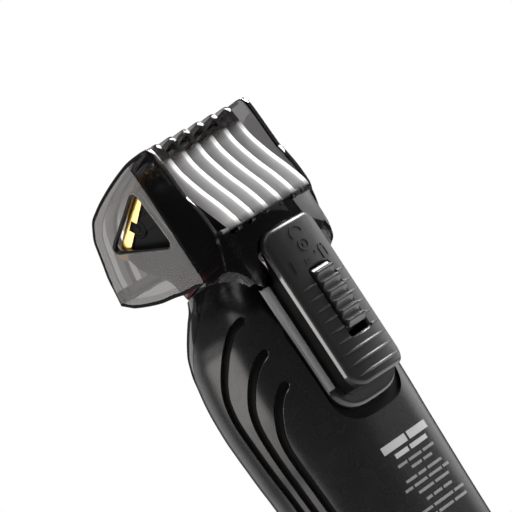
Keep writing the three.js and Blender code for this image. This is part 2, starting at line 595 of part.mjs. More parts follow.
function combFins() {
  return union(...Array.from({ length: FIN.count }, (_, i) => {
    const x = (i - (FIN.count - 1) / 2) * FIN.pitch;
    const leg = i === 0 || i === FIN.count - 1 ? OUTER_FIN_LEG : MIDDLE_FIN_LEG;
    return prism("x", [...COMB_EDGE, ...FIN_INNER, ...leg],
      [x - FIN.thickness / 2, x + FIN.thickness / 2]);
  }));
}
const combWalls = () => pair(prism("x", [...COMB_EDGE, ...WALL_LOWER, ...WALL_BACK],
  [COMB.half - COMB.wall, COMB.half], [roundedPolygon(WALL_WINDOW, 0.9)]));

function panelRing(z, middle, edge, wall) {
  const { half } = COMB;
  const radius = 3.2;
  const crownY = (x) => middle - (middle - edge) * (x / half) ** 2 - wall;
  const points = [[half - wall, wall ? -2 : 4]];
  for (let i = 0; i <= 3; i++) {
    const angle = i / 3 * Math.PI / 2;
    points.push([half - wall - radius + radius * Math.cos(angle),
      crownY(half) - radius + radius * Math.sin(angle)]);
  }
  for (const t of [0.62, 0.36, 0.12]) points.push([t * half, crownY(t * half)]);
  return symmetric(points).map(([x, y]) => [x, y, z]);
}
function combPanel() {
  const outside = loft(PANEL.map(([z, middle, edge]) => panelRing(z, middle, edge, 0)));
  // the inside runs past both ends
  const overrun = [-1, 0, 0, 0, 1];
  const inside = loft(PANEL.map(([z, middle, edge], i) =>
    panelRing(z + overrun[i], middle, edge, COMB.wall)));
  return outside.subtract(inside)
    .intersect(prism("y", symmetric(PANEL_HALF), [0, 30]))
    .intersect(prism("x", PANEL_SIDE, [-30, 30]));
}

// tongue with its step up to the panel, stem and retaining foot
function combTongue() {
  const { half, bottom } = TONGUE;
  const strip = roundEndedStrip({ half, centre: 106.2, depth: 6.5, steps: 10, top: 140 });
  return union(
    prism("y", strip, [bottom, PLATE.base]),
    box([-half, half], [bottom, 17.8], [141.4, 146.3]),
    box([-half, half], [bottom, PLATE.base], [139, 142]),
    box([-1.9, 1.9], [11.6, 14.2], [103.2, 112.2]),
    box([-4, 4], [10.4, 11.6], [103.2, 112.2]),
  );
}

function combGuide() {
  const frontBar = prism("x", [[-14.4, 145.5], [-12.5, 145.9], [-12.1, 148.2], [-13.9, 148.6]],
    [-COMB.half, COMB.half]);
  const gap = 0.15;
  const plateRoom = prism("y", roundedRect([-PLATE.half - gap, PLATE.half + gap],
    [PLATE.low - gap, PLATE.high + gap], 3.6), [PLATE.base, 40]);
  return union(combFins(), combWalls(), combPanel(), frontBar, combTongue()).subtract(plateRoom);
}

// ================================================================ thumb plate and lock
// crowned top, +x half: [x, y]
const CROWN_HALF = [[PLATE.half, PLATE.base], [PLATE.half, 19.5], [8.9, 20.3], [6, 21.2],
  [3, 21.75]];
// grip rib sections, [x, y]: short ones beside the slot, full width below it
const SHORT_RIBS = [
  [[6.6, 20.9], [6.4, 21.35], [4.2, 21.8], [4.2, 20.9]],
  [[-4.2, 20.9], [-4.2, 21.8], [-6, 21.5], [-8, 20.9], [-8.1, 20.3]],
];
const FULL_RIB = [[6.6, 21.0], [6.4, 21.35], [3, 22.05], [0, 22.2], [-3, 22.05], [-6, 21.5],
  [-8, 20.9], [-8.2, 20.4], [-3, 21.3], [0, 21.4], [3, 21.3]];

function thumbPlate() {
  const { half, low, high } = PLATE;
  let plate = prism("z", symmetric(CROWN_HALF, [[0, 21.9]]), [100, 145])
    .intersect(prism("y", roundedRect([-half, half], [low, high], 3.5), [10, 40]));
  for (let i = 0; i < 9; i++) {
    const z = 126.7 - i * 2.65;
    const outlines = i < 6 ? SHORT_RIBS : [FULL_RIB];
    for (const outline of outlines) plate = plate.add(prism("z", outline, [z - 0.4, z + 0.4]));
  }
  const hollow = box([-7.6, 7.6], [15, 19.2], [105.4, 139]);
  const slot = prism("y", roundedRect([-3.5, 3.5], [113.3, 130.0], 0.8, 2), [18, 30]);
  return plate.subtract(hollow).subtract(slot);
}

// button with a saw-tooth grip; its flange runs under the plate
function lockButton() {
  const teeth = [];
  for (let i = 0; i < 6; i++) {
    const z = 128.0 - i * 2.4;
    teeth.push([22.0, z + 1.0], [23.0, z + 0.6], [22.9, z + 0.1], [22.0, z - 0.9]);
  }
  const profile = [[18.0, 129.7], [21.6, 129.7], ...teeth, [21.4, 115.5], [18.0, 115.5]];
  return prism("x", profile, [-3.2, 3.2]).add(box([-5.2, 5.2], [17.2, 18.9], [114.6, 131.2]));
}

const COIL = { radius: 1.15, turns: 6, y: 17.4, low: 105.95, length: 8.1 };
class Helix extends THREE.Curve {
  getPoint(t) {
    const angle = 2 * Math.PI * COIL.turns * t;
    return new THREE.Vector3(COIL.radius * Math.cos(angle),
      COIL.y + COIL.radius * Math.sin(angle), COIL.low + COIL.length * t);
  }
}
const lockSpring = () => wire(new Helix(), { radius: 0.22, steps: 48, sides: 4 });

// toothed rack in the handle
function detentRack() {
  const teeth = [];
  for (let i = 0; i < 18; i++) teeth.push([11.1, 103.4 + i], [10.8, 103.9 + i]);
  return prism("x", [[11.9, 102.6], ...teeth, [11.1, 122], [11.9, 122]], [5.2, 8.2]);
}
// leaf on the comb's foot with a nib at its upper end
const detentSpring = () => union(
  box([-3.8, 6.6], [9.75, 10.15], [104.2, 106.8]),
  box([5.6, 7.8], [9.75, 10.15], [104.2, 113.5]),
  box([5.6, 7.8], [10.1, 10.55], [112.3, 113.1]),
);

// ================================================================ assembly
const groomer = new THREE.Group();
const bladeGroup = new THREE.Group();
bladeGroup.rotation.x = BLADE.tilt;
bladeGroup.position.set(0, BLADE.y, BLADE.z);
const rotor = new THREE.Group();
rotor.position.y = MOTOR.y;
groomer.add(bladeGroup, rotor);

function place(name, part, material, { parent = groomer, at = [0, 0, 0], turnX = 0 } = {}) {
  const mesh = new THREE.Mesh(geometryOf(part), material);
  mesh.name = name;
  mesh.position.set(...at);
  mesh.rotation.x = turnX;
  parent.add(mesh);
}
const SIDES = [[1, "left"], [-1, "right"]];
const M = MATERIAL;
const onBlade = { parent: bladeGroup };
const onRotor = { parent: rotor };

place("back_housing", backHousing(), M.satinBlack);
place("front_housing", frontHousing(), M.glossBlack);
place("base_cap", baseCap(), M.satinBlack);
place("charging_jack", chargingJack(), M.matteBlack, { at: [0, JACK_Y, 0] });
place("jack_pin", jackPin(), M.nickel, { at: [0, JACK_Y, 0] });
place("neck_ring", neckRing(), M.red, { at: [0, 0, NECK.z + 0.3], turnX: Math.atan(NECK.slope) });
place("head_frame", headFrame(), M.headBlack);
place("fixed_blade", fixedBlade(), M.gold, onBlade);
place("blade_spring", bladeSpring(), M.steel, onBlade);
for (const [side, label] of SIDES) {
  place(`blade_screw_${label}`, bladeScrew(), M.steel,
    { parent: bladeGroup, at: [side * BLADE_SCREW.x, BLADE_SCREW.u, 0] });
}
place("moving_blade", movingBlade(), M.darkSteel, onBlade);
place("cutter_carrier", cutterCarrier(), M.carrier);
place("motor_can", motorCan(), M.steel);
place("motor_end_cap", motorEndCap(), M.nylon);
for (const [side, label] of SIDES) place(`magnet_${label}`, magnet(side), M.magnet);
place("motor_shaft", motorShaft(), M.steel, onRotor);
place("armature", armature(), M.darkSteel, onRotor);
place("commutator", commutator(), M.copper, onRotor);
place("drive_eccentric", driveEccentric(), M.nylon, onRotor);
place("motor_mount", motorMount(), M.chassis);
for (const [side, label] of SIDES) {
  place(`motor_screw_${label}`, motorScrew(), M.steel, { at: [side * MOTOR.screwX, MOTOR.y, 0] });
}
place("drive_seal", driveSeal(), M.rubber);
place("chassis", chassis(), M.chassis);
place("battery_left", batteryCell(), M.cell, { at: [CELL.x, 0, CELL.low] });
place("battery_right", batteryCell(), M.cell, { at: [-CELL.x, 0, CELL.high], turnX: Math.PI });
place("cell_link", cellLink(), M.nickel);
place("cell_tab_left", cellTab(), M.nickel);
place("cell_tab_right", cellTab().mirror([1, 0, 0]), M.nickel);
place("circuit_board", circuitBoard(), M.board);
place("switch_block", switchBlock(), M.nylon);
place("charge_led", chargeLed(), M.ledGreen);
place("led_lens", ledLens(), M.nylon, { at: [0, -12.6, INDICATOR_Z], turnX: Math.PI / 2 });
place("power_switch", powerSwitch(), M.matteBlack);
place("lead_red", motorLead(1), M.redWire);
place("lead_black", motorLead(-1), M.blackWire);
place("lead_jack", jackLead(), M.redWire);
for (const [side, label] of SIDES) {
  place(`housing_screw_${label}`, housingScrew(), M.steel,
    { at: [side * BOSS.x, 0, BOSS.z], turnX: -Math.PI / 2 });
}
place("detent_rack", detentRack(), M.nylon);
place("comb_guide", combGuide(), M.smoke);
place("thumb_plate", thumbPlate(), M.matteBlack);
place("detent_spring", detentSpring(), M.steel);
place("lock_button", lockButton(), M.matteBlack);
place("lock_spring", lockSpring(), M.steel);

export default groomer;
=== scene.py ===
"""The groomer stands upright. z rises from the base cap (0) to the comb at the top, x runs
across the handle, -y is the front with the power switch and +y the back with the thumb
plate. Lengths are in mm and become metres when a mesh is made.
"""
import math
import random
from contextlib import contextmanager

import bmesh
import bpy
import numpy as np
from mathutils import Matrix, Vector


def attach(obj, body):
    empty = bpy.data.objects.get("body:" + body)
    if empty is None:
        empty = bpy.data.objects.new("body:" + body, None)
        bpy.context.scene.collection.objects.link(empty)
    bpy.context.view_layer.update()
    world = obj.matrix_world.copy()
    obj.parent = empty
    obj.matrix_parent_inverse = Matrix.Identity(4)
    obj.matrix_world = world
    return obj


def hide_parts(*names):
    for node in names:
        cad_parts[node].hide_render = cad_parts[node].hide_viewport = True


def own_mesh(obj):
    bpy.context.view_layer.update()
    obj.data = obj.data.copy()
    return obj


random.seed(7)
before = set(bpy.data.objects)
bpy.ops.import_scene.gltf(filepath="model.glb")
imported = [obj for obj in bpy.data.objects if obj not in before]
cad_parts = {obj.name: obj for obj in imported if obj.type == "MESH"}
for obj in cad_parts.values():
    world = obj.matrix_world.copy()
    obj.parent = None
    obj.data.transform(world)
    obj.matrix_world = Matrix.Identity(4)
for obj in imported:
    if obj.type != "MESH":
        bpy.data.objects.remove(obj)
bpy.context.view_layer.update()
MM = 0.001
scene = bpy.context.scene
collection = scene.collection

# ------------------------------------------------------------------ shared dimensions (mm)
WALL = 1.6                       # thickness of the handle shells
BODY_POWER = 2.8                 # superellipse power of the handle section
NECK_Z, NECK_SLOPE = 139.4, 0.15  # top plane of the handle: height at y = 0, rise per mm of y
CHANNEL_Y = 13.6                 # floor of the channel down the back
SCREW_X, SCREW_Z = 6, 22         # housing screws
LED_Z = 83
JACK_CENTRE = (0, -6.2, 0)

# cutting head: the blade plane starts at (y, z) and leans back to the comb
BLADE_Y, BLADE_Z, BLADE_TILT = -9.5, 154.5, math.radians(35)
BLADE_SCREW_X, BLADE_SCREW_UP = 9, 3.4
BLADE_ROOT = 16.4                # where the toothed edge starts, measured up the blade plane

COMB_HALF, COMB_WALL = 19.0, 1.6
LEAN_Y = 8.6                     # behind this the comb's side walls lean inwards

# thumb plate
PLATE_HALF, PLATE_BOTTOM, PLATE_TOP = 9.4, 103.3, 141.2
PLATE_GAP = 0.15

# handle section: z, half width, depth to the front, depth to the back
BODY = np.array([
    [0, 15.6, 11.2, 10.6], [1, 17.2, 12.4, 12.2], [2.5, 18.1, 13.1, 13.1],
    [5, 18.7, 13.5, 13.7], [8, 18.9, 13.65, 13.9], [20, 19.1, 13.8, 14.1],
    [40, 19.4, 14.0, 14.4], [66, 19.8, 14.3, 14.8], [74.6, 20.0, 14.45, 14.95],
    [85, 20.45, 14.75, 15.1], [92.8, 20.8, 15.0, 15.25], [96.7, 21.1, 15.25, 15.3],
    [100.8, 21.35, 15.4, 15.3], [104.8, 21.55, 15.55, 15.3], [109, 21.7, 15.65, 15.3],
    [114.7, 21.5, 15.5, 15.2], [118.4, 21.1, 15.25, 15.1], [121.6, 20.55, 14.85, 14.9],
    [124.3, 20.1, 14.5, 14.6], [126.4, 19.45, 14.05, 14.3], [128.3, 18.75, 13.55, 13.9],
    [130, 17.8, 12.85, 13.4], [132.5, 16.1, 11.6, 12.4], [134.7, 14.4, 10.4, 11.4],
    [136.9, 12.6, 9.1, 10.3], [139.5, 11.5, 8.3, 9.5], [144, 11.1, 8.0, 9.1]])

# seam between the front and back shells: y, z
SEAM = np.array([
    [-5, -11.6], [112, -11.6], [117.5, -11.3], [120.8, -10.6], [123.6, -8.9], [126.2, -6.9],
    [129.7, -4.6], [131.8, -2.9], [134.1, -1.6], [135.8, -0.4], [137.7, 0.9], [138.7, 2.6],
    [141, 5.5], [150, 12]])[:, :]

# grooves down each flank, from the top: y, z
GROOVES = [
    [[9.7, 129.0], [8.6, 128.6], [7.0, 128.0], [5.1, 126.1], [2.5, 123.2], [0, 120.1],
     [-1.6, 117.2], [-2.4, 114.4], [-2.8, 111.4], [-2.8, 107.5], [-2.7, 99.7], [-2.4, 93],
     [-2, 84], [-1.2, 70], [0.2, 50], [2.2, 32]],
    [[11.2, 120.7], [9.25, 119.5], [6.8, 117.2], [4.7, 114.6], [2.95, 112], [1.9, 109.2],
     [1.3, 106.2], [1.0, 102.3], [0.9, 97], [1.0, 88.4], [1.6, 74], [2.8, 54], [4.4, 38]],
    [[11.6, 112.7], [10.0, 111.6], [8.1, 109.2], [6.6, 106.5], [5.4, 104], [4.7, 101],
     [4.5, 97], [4.6, 88], [5.0, 76], [5.8, 60], [6.8, 46]],
]


# ------------------------------------------------------------------ curves and outlines
def smooth_table(table, zs):
    """monotone cubic (PCHIP) interpolation of the columns of a table at heights zs"""
    knots, zs = table[:, 0], np.asarray(zs, float)
    columns = [zs]
    step = np.diff(knots)
    j = np.clip(np.searchsorted(knots, zs) - 1, 0, len(knots) - 2)
    t = np.clip((zs - knots[j]) / step[j], 0, 1)
    for values in table.T[1:]:
        slope = np.diff(values) / step
        tangent = np.zeros(len(knots))
        tangent[0], tangent[-1] = slope[0], slope[-1]
        for i in range(1, len(knots) - 1):
            if slope[i - 1] * slope[i] > 0:
                before = 2 * step[i] + step[i - 1]
                after = step[i] + 2 * step[i - 1]
                tangent[i] = (before + after) / (before / slope[i - 1] + after / slope[i])
        columns.append((2 * t**3 - 3 * t**2 + 1) * values[j]
                       + (t**3 - 2 * t**2 + t) * step[j] * tangent[j]
                       + (-2 * t**3 + 3 * t**2) * values[j + 1]
                       + (t**3 - t**2) * step[j] * tangent[j + 1])
    return np.array(columns).T


def catmull(points, per=8):
    """open Catmull-Rom curve with per steps to each span"""
    points = np.array(points, float)
    last = len(points) - 1
    out = []
    for i in range(last):
        before, start = points[max(i - 1, 0)], points[i]
        end, after = points[i + 1], points[min(i + 2, last)]
        for k in range(per):
            t = k / per
            out.append(0.5 * ((2 * start) + (-before + end) * t
                              + (2 * before - 5 * start + 4 * end - after) * t * t
                              + (-before + 3 * start - 3 * end + after) * t**3))
    out.append(points[-1])
    return np.array(out)


def run_length(points):
    """distance along a flat path at each of its points"""
    return np.concatenate([[0], np.cumsum(np.hypot(*np.diff(points, axis=0).T))])


def lift(points, axis, level):
    """flat points as 3D points, with level as their coordinate on the named axis"""
    return np.insert(np.asarray(points, float), "xyz".index(axis), level, axis=1)


def rounded_rect(x0, x1, y0, y1, radius, seg=10, splits=(1, 1)):
    """rounded rectangle; splits is the number of steps on its (y, x) sides"""
    corners = [(x1 - radius, y0 + radius, -90), (x1 - radius, y1 - radius, 0),
               (x0 + radius, y1 - radius, 90), (x0 + radius, y0 + radius, 180)]
    arcs = []
    for x, y, start in corners:
        angles = [math.radians(start + 90 * i / seg) for i in range(seg + 1)]
        arcs.append([[x + radius * math.cos(a), y + radius * math.sin(a)] for a in angles])
    out = []
    for k, corner in enumerate(arcs):
        out += corner
        start, end = np.array(corner[-1]), np.array(arcs[(k + 1) % 4][0])
        count = splits[k % 2]
        out += [start + (end - start) * i / count for i in range(1, count)]
    return np.array(out)


def rounded_poly(points, radius, seg=8):
    """polygon with rounded corners"""
    points, out = np.array(points, float), []
    for i, corner in enumerate(points):
        before, after = points[i - 1] - corner, points[(i + 1) % len(points)] - corner
        reach_before, reach_after = np.linalg.norm(before), np.linalg.norm(after)
        before, after = before / reach_before, after / reach_after
        half = math.acos(max(-1, min(1, float(before @ after)))) / 2
        trim = min(radius / math.tan(half), 0.48 * reach_before, 0.48 * reach_after)
        fitted = trim * math.tan(half)
        middle = (before + after) / np.linalg.norm(before + after)
        centre = corner + middle * (fitted / math.sin(half))
        start, end = corner + before * trim - centre, corner + after * trim - centre
        first = math.atan2(start[1], start[0])
        sweep = (math.atan2(end[1], end[0]) - first + math.pi) % (2 * math.pi) - math.pi
        for k in range(seg + 1):
            angle = first + sweep * k / seg
            out.append(centre + fitted * np.array([math.cos(angle), math.sin(angle)]))
    return np.array(out)


def clean(points, tolerance=0.03):
    """outline without points that nearly repeat the one before"""
    out = []
    for point in points:
        if not out or np.linalg.norm(np.subtract(point, out[-1])) > tolerance:
            out.append(point)
    if np.linalg.norm(np.subtract(out[0], out[-1])) < tolerance:
        out.pop()
    return np.array(out, float)


def outline_gap(outline, points):
    """distance of each point from a closed outline"""
    start = np.asarray(outline, float)
    side = np.roll(start, -1, 0) - start
    along = ((points[:, None] - start[None]) * side[None]).sum(2) / (side * side).sum(1)[None]
    nearest = start[None] + np.clip(along, 0, 1)[..., None] * side[None]
    return np.linalg.norm(points[:, None] - nearest, axis=2).min(1)


def offset_poly(points, inset):
    """outline moved inwards by inset along its corner normals, whatever its winding"""
    points = np.asarray(points, float)
    x, y = points.T
    if 0.5 * np.sum(x * np.roll(y, -1) - np.roll(x, -1) * y) < 0:
        points = points[::-1]
    edge = np.roll(points, -1, 0) - points
    edge /= np.linalg.norm(edge, axis=1, keepdims=True)
    normal = np.column_stack([-edge[:, 1], edge[:, 0]])
    previous = np.roll(normal, 1, 0)
    mitre = normal + previous
    mitre = mitre / np.maximum(0.35, 1 + (normal * previous).sum(1, keepdims=True))
    moved = points + mitre * inset
    if abs(inset) < 1e-6:
        return moved
    # corners that came too close to the outline are folded onto their neighbours
    good = outline_gap(points, moved) > abs(inset) * 0.985 - 1e-4
    if good.all() or not good.any():
        return moved
    count = len(moved)
    out = moved.copy()
    order = np.roll(np.arange(count), -int(np.argmax(good)))
    j = 0
    while j < count:
        if good[order[j]]:
            j += 1
            continue
        end = j
        while end < count and not good[order[end]]:
            end += 1
        out[order[j:end]] = 0.5 * (moved[order[j - 1]] + moved[order[end % count]])
        j = end
    return out


def round_end(half, middle, depth, steps):
    """blunt lower end of an upright tab, as (x, z) points"""
    out = []
    for i in range(steps + 1):
        angle = math.pi + math.pi * i / steps
        cosine = math.cos(angle)
        out.append([half * math.copysign(abs(cosine) ** 0.6, cosine),
                    middle + depth * math.sin(angle)])
    return out


def mirrored(low, high, side):
    """x range on the chosen side (1 or -1)"""
    return (low, high) if side > 0 else (-high, -low)


# ------------------------------------------------------------------ solids
@contextmanager
def editing(mesh):
    """the mesh as a bmesh, written back afterwards"""
    edit = bmesh.new()
    edit.from_mesh(mesh)
    yield edit
    edit.to_mesh(mesh)
    edit.free()


def link_mesh(mesh):
    obj = bpy.data.objects.new(mesh.name, mesh)
    collection.objects.link(obj)
    return obj


def new_object(verts, faces):
    """closed solid from vertices in mm, with its faces turned outwards"""
    mesh = bpy.data.meshes.new("solid")
    mesh.from_pydata([tuple(v) for v in (np.asarray(verts, float) * MM)], [],
                     [tuple(int(i) for i in face) for face in faces])
    mesh.update()
    with editing(mesh) as edit:
        bmesh.ops.remove_doubles(edit, verts=edit.verts, dist=2e-7)
        if edit.calc_volume(signed=True) < 0:
            bmesh.ops.reverse_faces(edit, faces=edit.faces)
    return link_mesh(mesh)


def loft(rings):
    """closed loft through rings that all have the same number of points"""
    rings = np.asarray(rings, float)
    index = np.arange(rings.shape[0] * rings.shape[1]).reshape(rings.shape[:2])
    turned = np.roll(index, -1, 1)
    quads = np.stack([index[:-1], turned[:-1], turned[1:], index[1:]], -1).reshape(-1, 4)
    caps = [index[0, ::-1].tolist(), index[-1].tolist()]
    return new_object(rings.reshape(-1, 3), quads.tolist() + caps)


def extrude(low, high):
    """solid between two matching rings of points"""
    n = len(low)
    sides = [(i, (i + 1) % n, n + (i + 1) % n, n + i) for i in range(n)]
    return new_object(np.vstack([low, high]),
                      [tuple(range(n - 1, -1, -1)), tuple(range(n, 2 * n))] + sides)


def apply_modifiers(obj):
    graph = bpy.context.evaluated_depsgraph_get()
    mesh = bpy.data.meshes.new_from_object(obj.evaluated_get(graph), depsgraph=graph)
    obj.modifiers.clear()
    old = obj.data
    obj.data = mesh
    bpy.data.meshes.remove(old)


def boolean(obj, tool, operation, keep_tool=False):
    modifier = obj.modifiers.new("cut", "BOOLEAN")
    modifier.operation, modifier.object = operation, tool
    modifier.solver = "MANIFOLD"
    bpy.context.view_layer.update()
    apply_modifiers(obj)
    if not keep_tool:
        bpy.data.objects.remove(tool)


def subtract(obj, *tools):
    for tool in tools:
        boolean(obj, tool, "DIFFERENCE")


def unite(obj, *tools):
    for tool in tools:
        boolean(obj, tool, "UNION")


def bevel(obj, width, segments, angle):
    modifier = obj.modifiers.new("bevel", "BEVEL")
    modifier.width, modifier.segments = width * MM, segments
    modifier.limit_method, modifier.angle_limit = "ANGLE", math.radians(angle)
    modifier.profile = 0.5
    modifier.harden_normals = False
    bpy.context.view_layer.update()
    apply_modifiers(obj)


def prism(points, axis, low, high, edge=0.0):
    """polygon prism along an axis; the points hold the other two coordinates in xyz order"""
    points = np.asarray(points, float)
    kept = [i for i in range(len(points)) if np.linalg.norm(points[i] - points[i - 1]) > 1e-4]
    points = points[kept]
    obj = extrude(lift(points, axis, low), lift(points, axis, high))
    if edge:
        bevel(obj, edge, 2, 30)
    return obj


def box(x0, x1, y0, y1, z0, z1, edge=0.0):
    return prism([[x0, y0], [x1, y0], [x1, y1], [x0, y1]], "z", z0, z1, edge)


def lathe(profile, seg=40, centre=(0, 0, 0), to_front=False):
    """turned piece about z, or about -y; profile is (radius, height) from axis to axis"""
    verts, faces, rows = [], [], []
    for radius, height in profile:
        if radius < 1e-9:
            rows.append([len(verts)] * seg)
            verts.append((0, 0, height))
        else:
            rows.append(list(range(len(verts), len(verts) + seg)))
            verts += [(radius * math.cos(2 * math.pi * k / seg),
                       radius * math.sin(2 * math.pi * k / seg), height) for k in range(seg)]
    for low, high in zip(rows, rows[1:]):
        for k in range(seg):
            nxt = (k + 1) % seg
            face = [low[k], low[nxt], high[nxt], high[k]]
            face = list(dict.fromkeys(face))
            if len(face) > 2:
                faces.append(face)
    verts = np.array(verts, float)
    if to_front:
        verts = verts[:, [0, 2, 1]] * [1, -1, 1]
    return new_object(verts + np.array(centre, float), faces)


def cylinder(radius, low, high, seg, **placing):
    return lathe([[0, low], [radius, low], [radius, high], [0, high]], seg, **placing)


def pose(x, y, z, turn=0.0, axis="X"):
    """matrix that turns about an axis and then moves by mm"""
    return Matrix.Translation((x * MM, y * MM, z * MM)) @ Matrix.Rotation(turn, 4, axis)


def placed(obj, matrix):
    obj.data.transform(matrix)
    return obj


def inset_loft(outline, axis, steps):
    """loft of one outline; steps are (inset, level on the axis)"""
    return loft([lift(offset_poly(outline, inset), axis, level) for inset, level in steps])


def quarter(radius, seg):
    """(inset, depth) steps of a rounded rim, from the end face down to the side"""
    return [(radius * (1 - math.sin(a)), radius * (1 - math.cos(a)))
            for a in np.linspace(0, math.pi / 2, seg + 1)]


def round_prism(points, axis, low, high, radius, seg=4, band=0.0):
    """prism with rounded rims; band adds an edge loop further in on both ends"""
    drop = 0.015 if band else 0.0
    rim = quarter(radius, seg)
    steps = [(inset, low + depth + drop) for inset, depth in rim]
    steps += [(inset, high - depth - drop) for inset, depth in reversed(rim)]
    if band:
        steps = [(band, low)] + steps + [(band, high)]
    return inset_loft(clean(points), axis, steps)


def flared_cutter(points, low, high, radius, seg):
    """hole cutter along x that rounds the rims of the hole on the planes low and high"""
    rim = quarter(radius, seg)
    steps = [(-radius - 0.6, low - 0.6)]
    steps += [(-inset, low + depth) for inset, depth in rim]
    steps += [(-inset, high - depth) for inset, depth in reversed(rim)]
    steps += [(-radius - 0.6, high + 0.6)]
    return inset_loft(clean(points), "x", steps)


def duplicate(obj):
    return link_mesh(obj.data.copy())


def join(objs):
    """several closed solids as one piece"""
    edit = bmesh.new()
    for obj in objs:
        edit.from_mesh(obj.data)
    mesh = bpy.data.meshes.new("joined")
    edit.to_mesh(mesh)
    edit.free()
    for obj in objs:
        bpy.data.objects.remove(obj)
    return link_mesh(mesh)


def crease_at_y(obj, y):
    """adds an edge loop where the plane at y meets the piece"""
    with editing(obj.data) as edit:
        bmesh.ops.bisect_plane(edit, geom=edit.verts[:] + edit.edges[:] + edit.faces[:],
                               plane_co=(0, y * MM, 0), plane_no=(0, 1, 0), dist=1e-7)


# ------------------------------------------------------------------ finishing
def finish(obj, name, body, slot, replaced=None, extra=(), surface=None, sharp=32,
           weighted=True):
    """names the piece, shades it and hands it over; its main material is the slot's own
    unless surface names another"""
    obj.name = name
    obj.data.name = name
    mesh = obj.data
    with editing(mesh) as edit:
        bmesh.ops.remove_doubles(edit, verts=edit.verts, dist=1e-7)
        bmesh.ops.dissolve_degenerate(edit, edges=edit.edges, dist=1e-8)
    mesh.shade_smooth()
    mesh.set_sharp_from_angle(angle=math.radians(sharp))
    if weighted:
        modifier = obj.modifiers.new("normals", "WEIGHTED_NORMAL")
        modifier.keep_sharp = True
        modifier.weight = 80
    mesh.materials.clear()
    for material in (surface or slot, *extra):
        mesh.materials.append(MATERIALS[material])
    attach(obj, body)
    if replaced:
        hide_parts(replaced)


def read_array(items, field, width, kind=float):
    values = np.empty(len(items) * width, kind)
    items.foreach_get(field, values)
    return values.reshape(-1, width) if width > 1 else values


def face_geometry(obj):
    """face centres in mm and face normals"""
    faces = obj.data.polygons
    return read_array(faces, "center", 3) / MM, read_array(faces, "normal", 3)


def paint(obj, index, chosen):
    """gives the chosen faces another material of the piece"""
    faces = obj.data.polygons
    indices = read_array(faces, "material_index", 1, np.int32)
    indices[chosen] = index
    faces.foreach_set("material_index", indices)
    obj.data.update()


# ------------------------------------------------------------------ materials
class Nodes:
    """short ways to build a shader tree; every method returns an output socket"""

    def __init__(self, owner):
        owner.use_nodes = True
        self.tree = owner.node_tree
        self.tree.nodes.clear()

    def add(self, kind, output=0, inputs=(), **settings):
        """new node; an input is a value or a socket to link. Output None gives them all"""
        node = self.tree.nodes.new("ShaderNode" + kind)
        for key, value in settings.items():
            setattr(node, key, value)
        for key, value in dict(inputs).items():
            if isinstance(value, bpy.types.NodeSocket):
                self.tree.links.new(value, node.inputs[key])
            else:
                node.inputs[key].default_value = value
        return node.outputs if output is None else node.outputs[output]

    def noise(self, scale, vector, detail=2.0, distortion=0.0):
        return self.add("TexNoise", 0, {"Scale": scale, "Detail": detail,
                                        "Distortion": distortion, "Vector": vector})

    def map_range(self, value, from_min=0.0, from_max=1.0, to_min=0.0, to_max=1.0,
                  interpolation="LINEAR"):
        return self.add("MapRange", 0, {
            "Value": value, "From Min": from_min, "From Max": from_max,
            "To Min": to_min, "To Max": to_max}, interpolation_type=interpolation)

    def math(self, operation, *values):
        return self.add("Math", 0, dict(enumerate(values)), operation=operation)

    def tint(self, factor, color, darker, lighter):
        """drifts between a darker and a lighter version of the colour"""
        return self.add("Mix", "Result", {
            "A": [c * darker for c in color] + [1],
            "B": [min(1, c * lighter) for c in color] + [1],
            "Factor": factor}, data_type="RGBA")

    def relief(self, height, strength, distance, edge_radius=0.0):
        """bump normal, over softened edges where edge_radius (mm) is given"""
        inputs = {"Strength": strength, "Distance": distance, "Height": height}
        if edge_radius:
            inputs["Normal"] = self.add("Bevel", 0, {"Radius": edge_radius * MM}, samples=4)
        return self.add("Bump", 0, inputs)

    def mix_shader(self, factor, first, second):
        return self.add("MixShader", 0, {"Fac": factor, 1: first, 2: second})


MATERIALS = {}


def new_material(name):
    MATERIALS[name] = bpy.data.materials.new(name)
    return Nodes(MATERIALS[name])


def moulded(name, color, roughness, grain=900.0, bump=0.02, drift=0.06, coat=0.0,
            edge_radius=0.0, specular=0.5, metallic=0.0):
    """plastic or metal with fine grain, cloudy gloss (drift) and faint handling marks"""
    nodes = new_material(name)
    place = nodes.add("TexCoord", "Object")
    clouds = nodes.noise(60.0, place, detail=4.0)
    fine = nodes.noise(grain, place, detail=3.0)
    marks = nodes.noise(240.0, place, detail=6.0, distortion=1.5)
    gloss = nodes.math(
        "ADD", nodes.map_range(clouds, to_min=roughness - drift, to_max=roughness + drift),
        nodes.map_range(marks, from_min=0.55, from_max=0.75, to_max=0.05))
    skin = nodes.add("BsdfPrincipled", 0, {
        "Metallic": metallic, "Specular IOR Level": specular,
        "Coat Weight": coat, "Coat Roughness": 0.06,
        "Base Color": nodes.tint(clouds, color, 0.85, 1.15), "Roughness": gloss,
        "Normal": nodes.relief(fine, bump, 0.0002, edge_radius)})
    nodes.add("OutputMaterial", None, {"Surface": skin})


def brushed(name, color, roughness, scale=(40, 1600, 40), bump=0.05):
    """metal with fine grinding lines; scale stretches them along an axis"""
    nodes = new_material(name)
    place = nodes.add("TexCoord", "Object")
    stretched = nodes.add("Mapping", 0, {"Scale": scale, "Vector": place})
    lines = nodes.noise(10.0, stretched, detail=5.0)
    clouds = nodes.noise(120.0, place)
    skin = nodes.add("BsdfPrincipled", 0, {
        "Metallic": 1.0, "Anisotropic": 0.4,
        "Base Color": nodes.tint(clouds, color, 0.82, 1.1),
        "Roughness": nodes.map_range(lines, to_min=roughness - 0.08, to_max=roughness + 0.1),
        "Normal": nodes.relief(lines, bump, 0.0002, edge_radius=0.05)})
    nodes.add("OutputMaterial", None, {"Surface": skin})


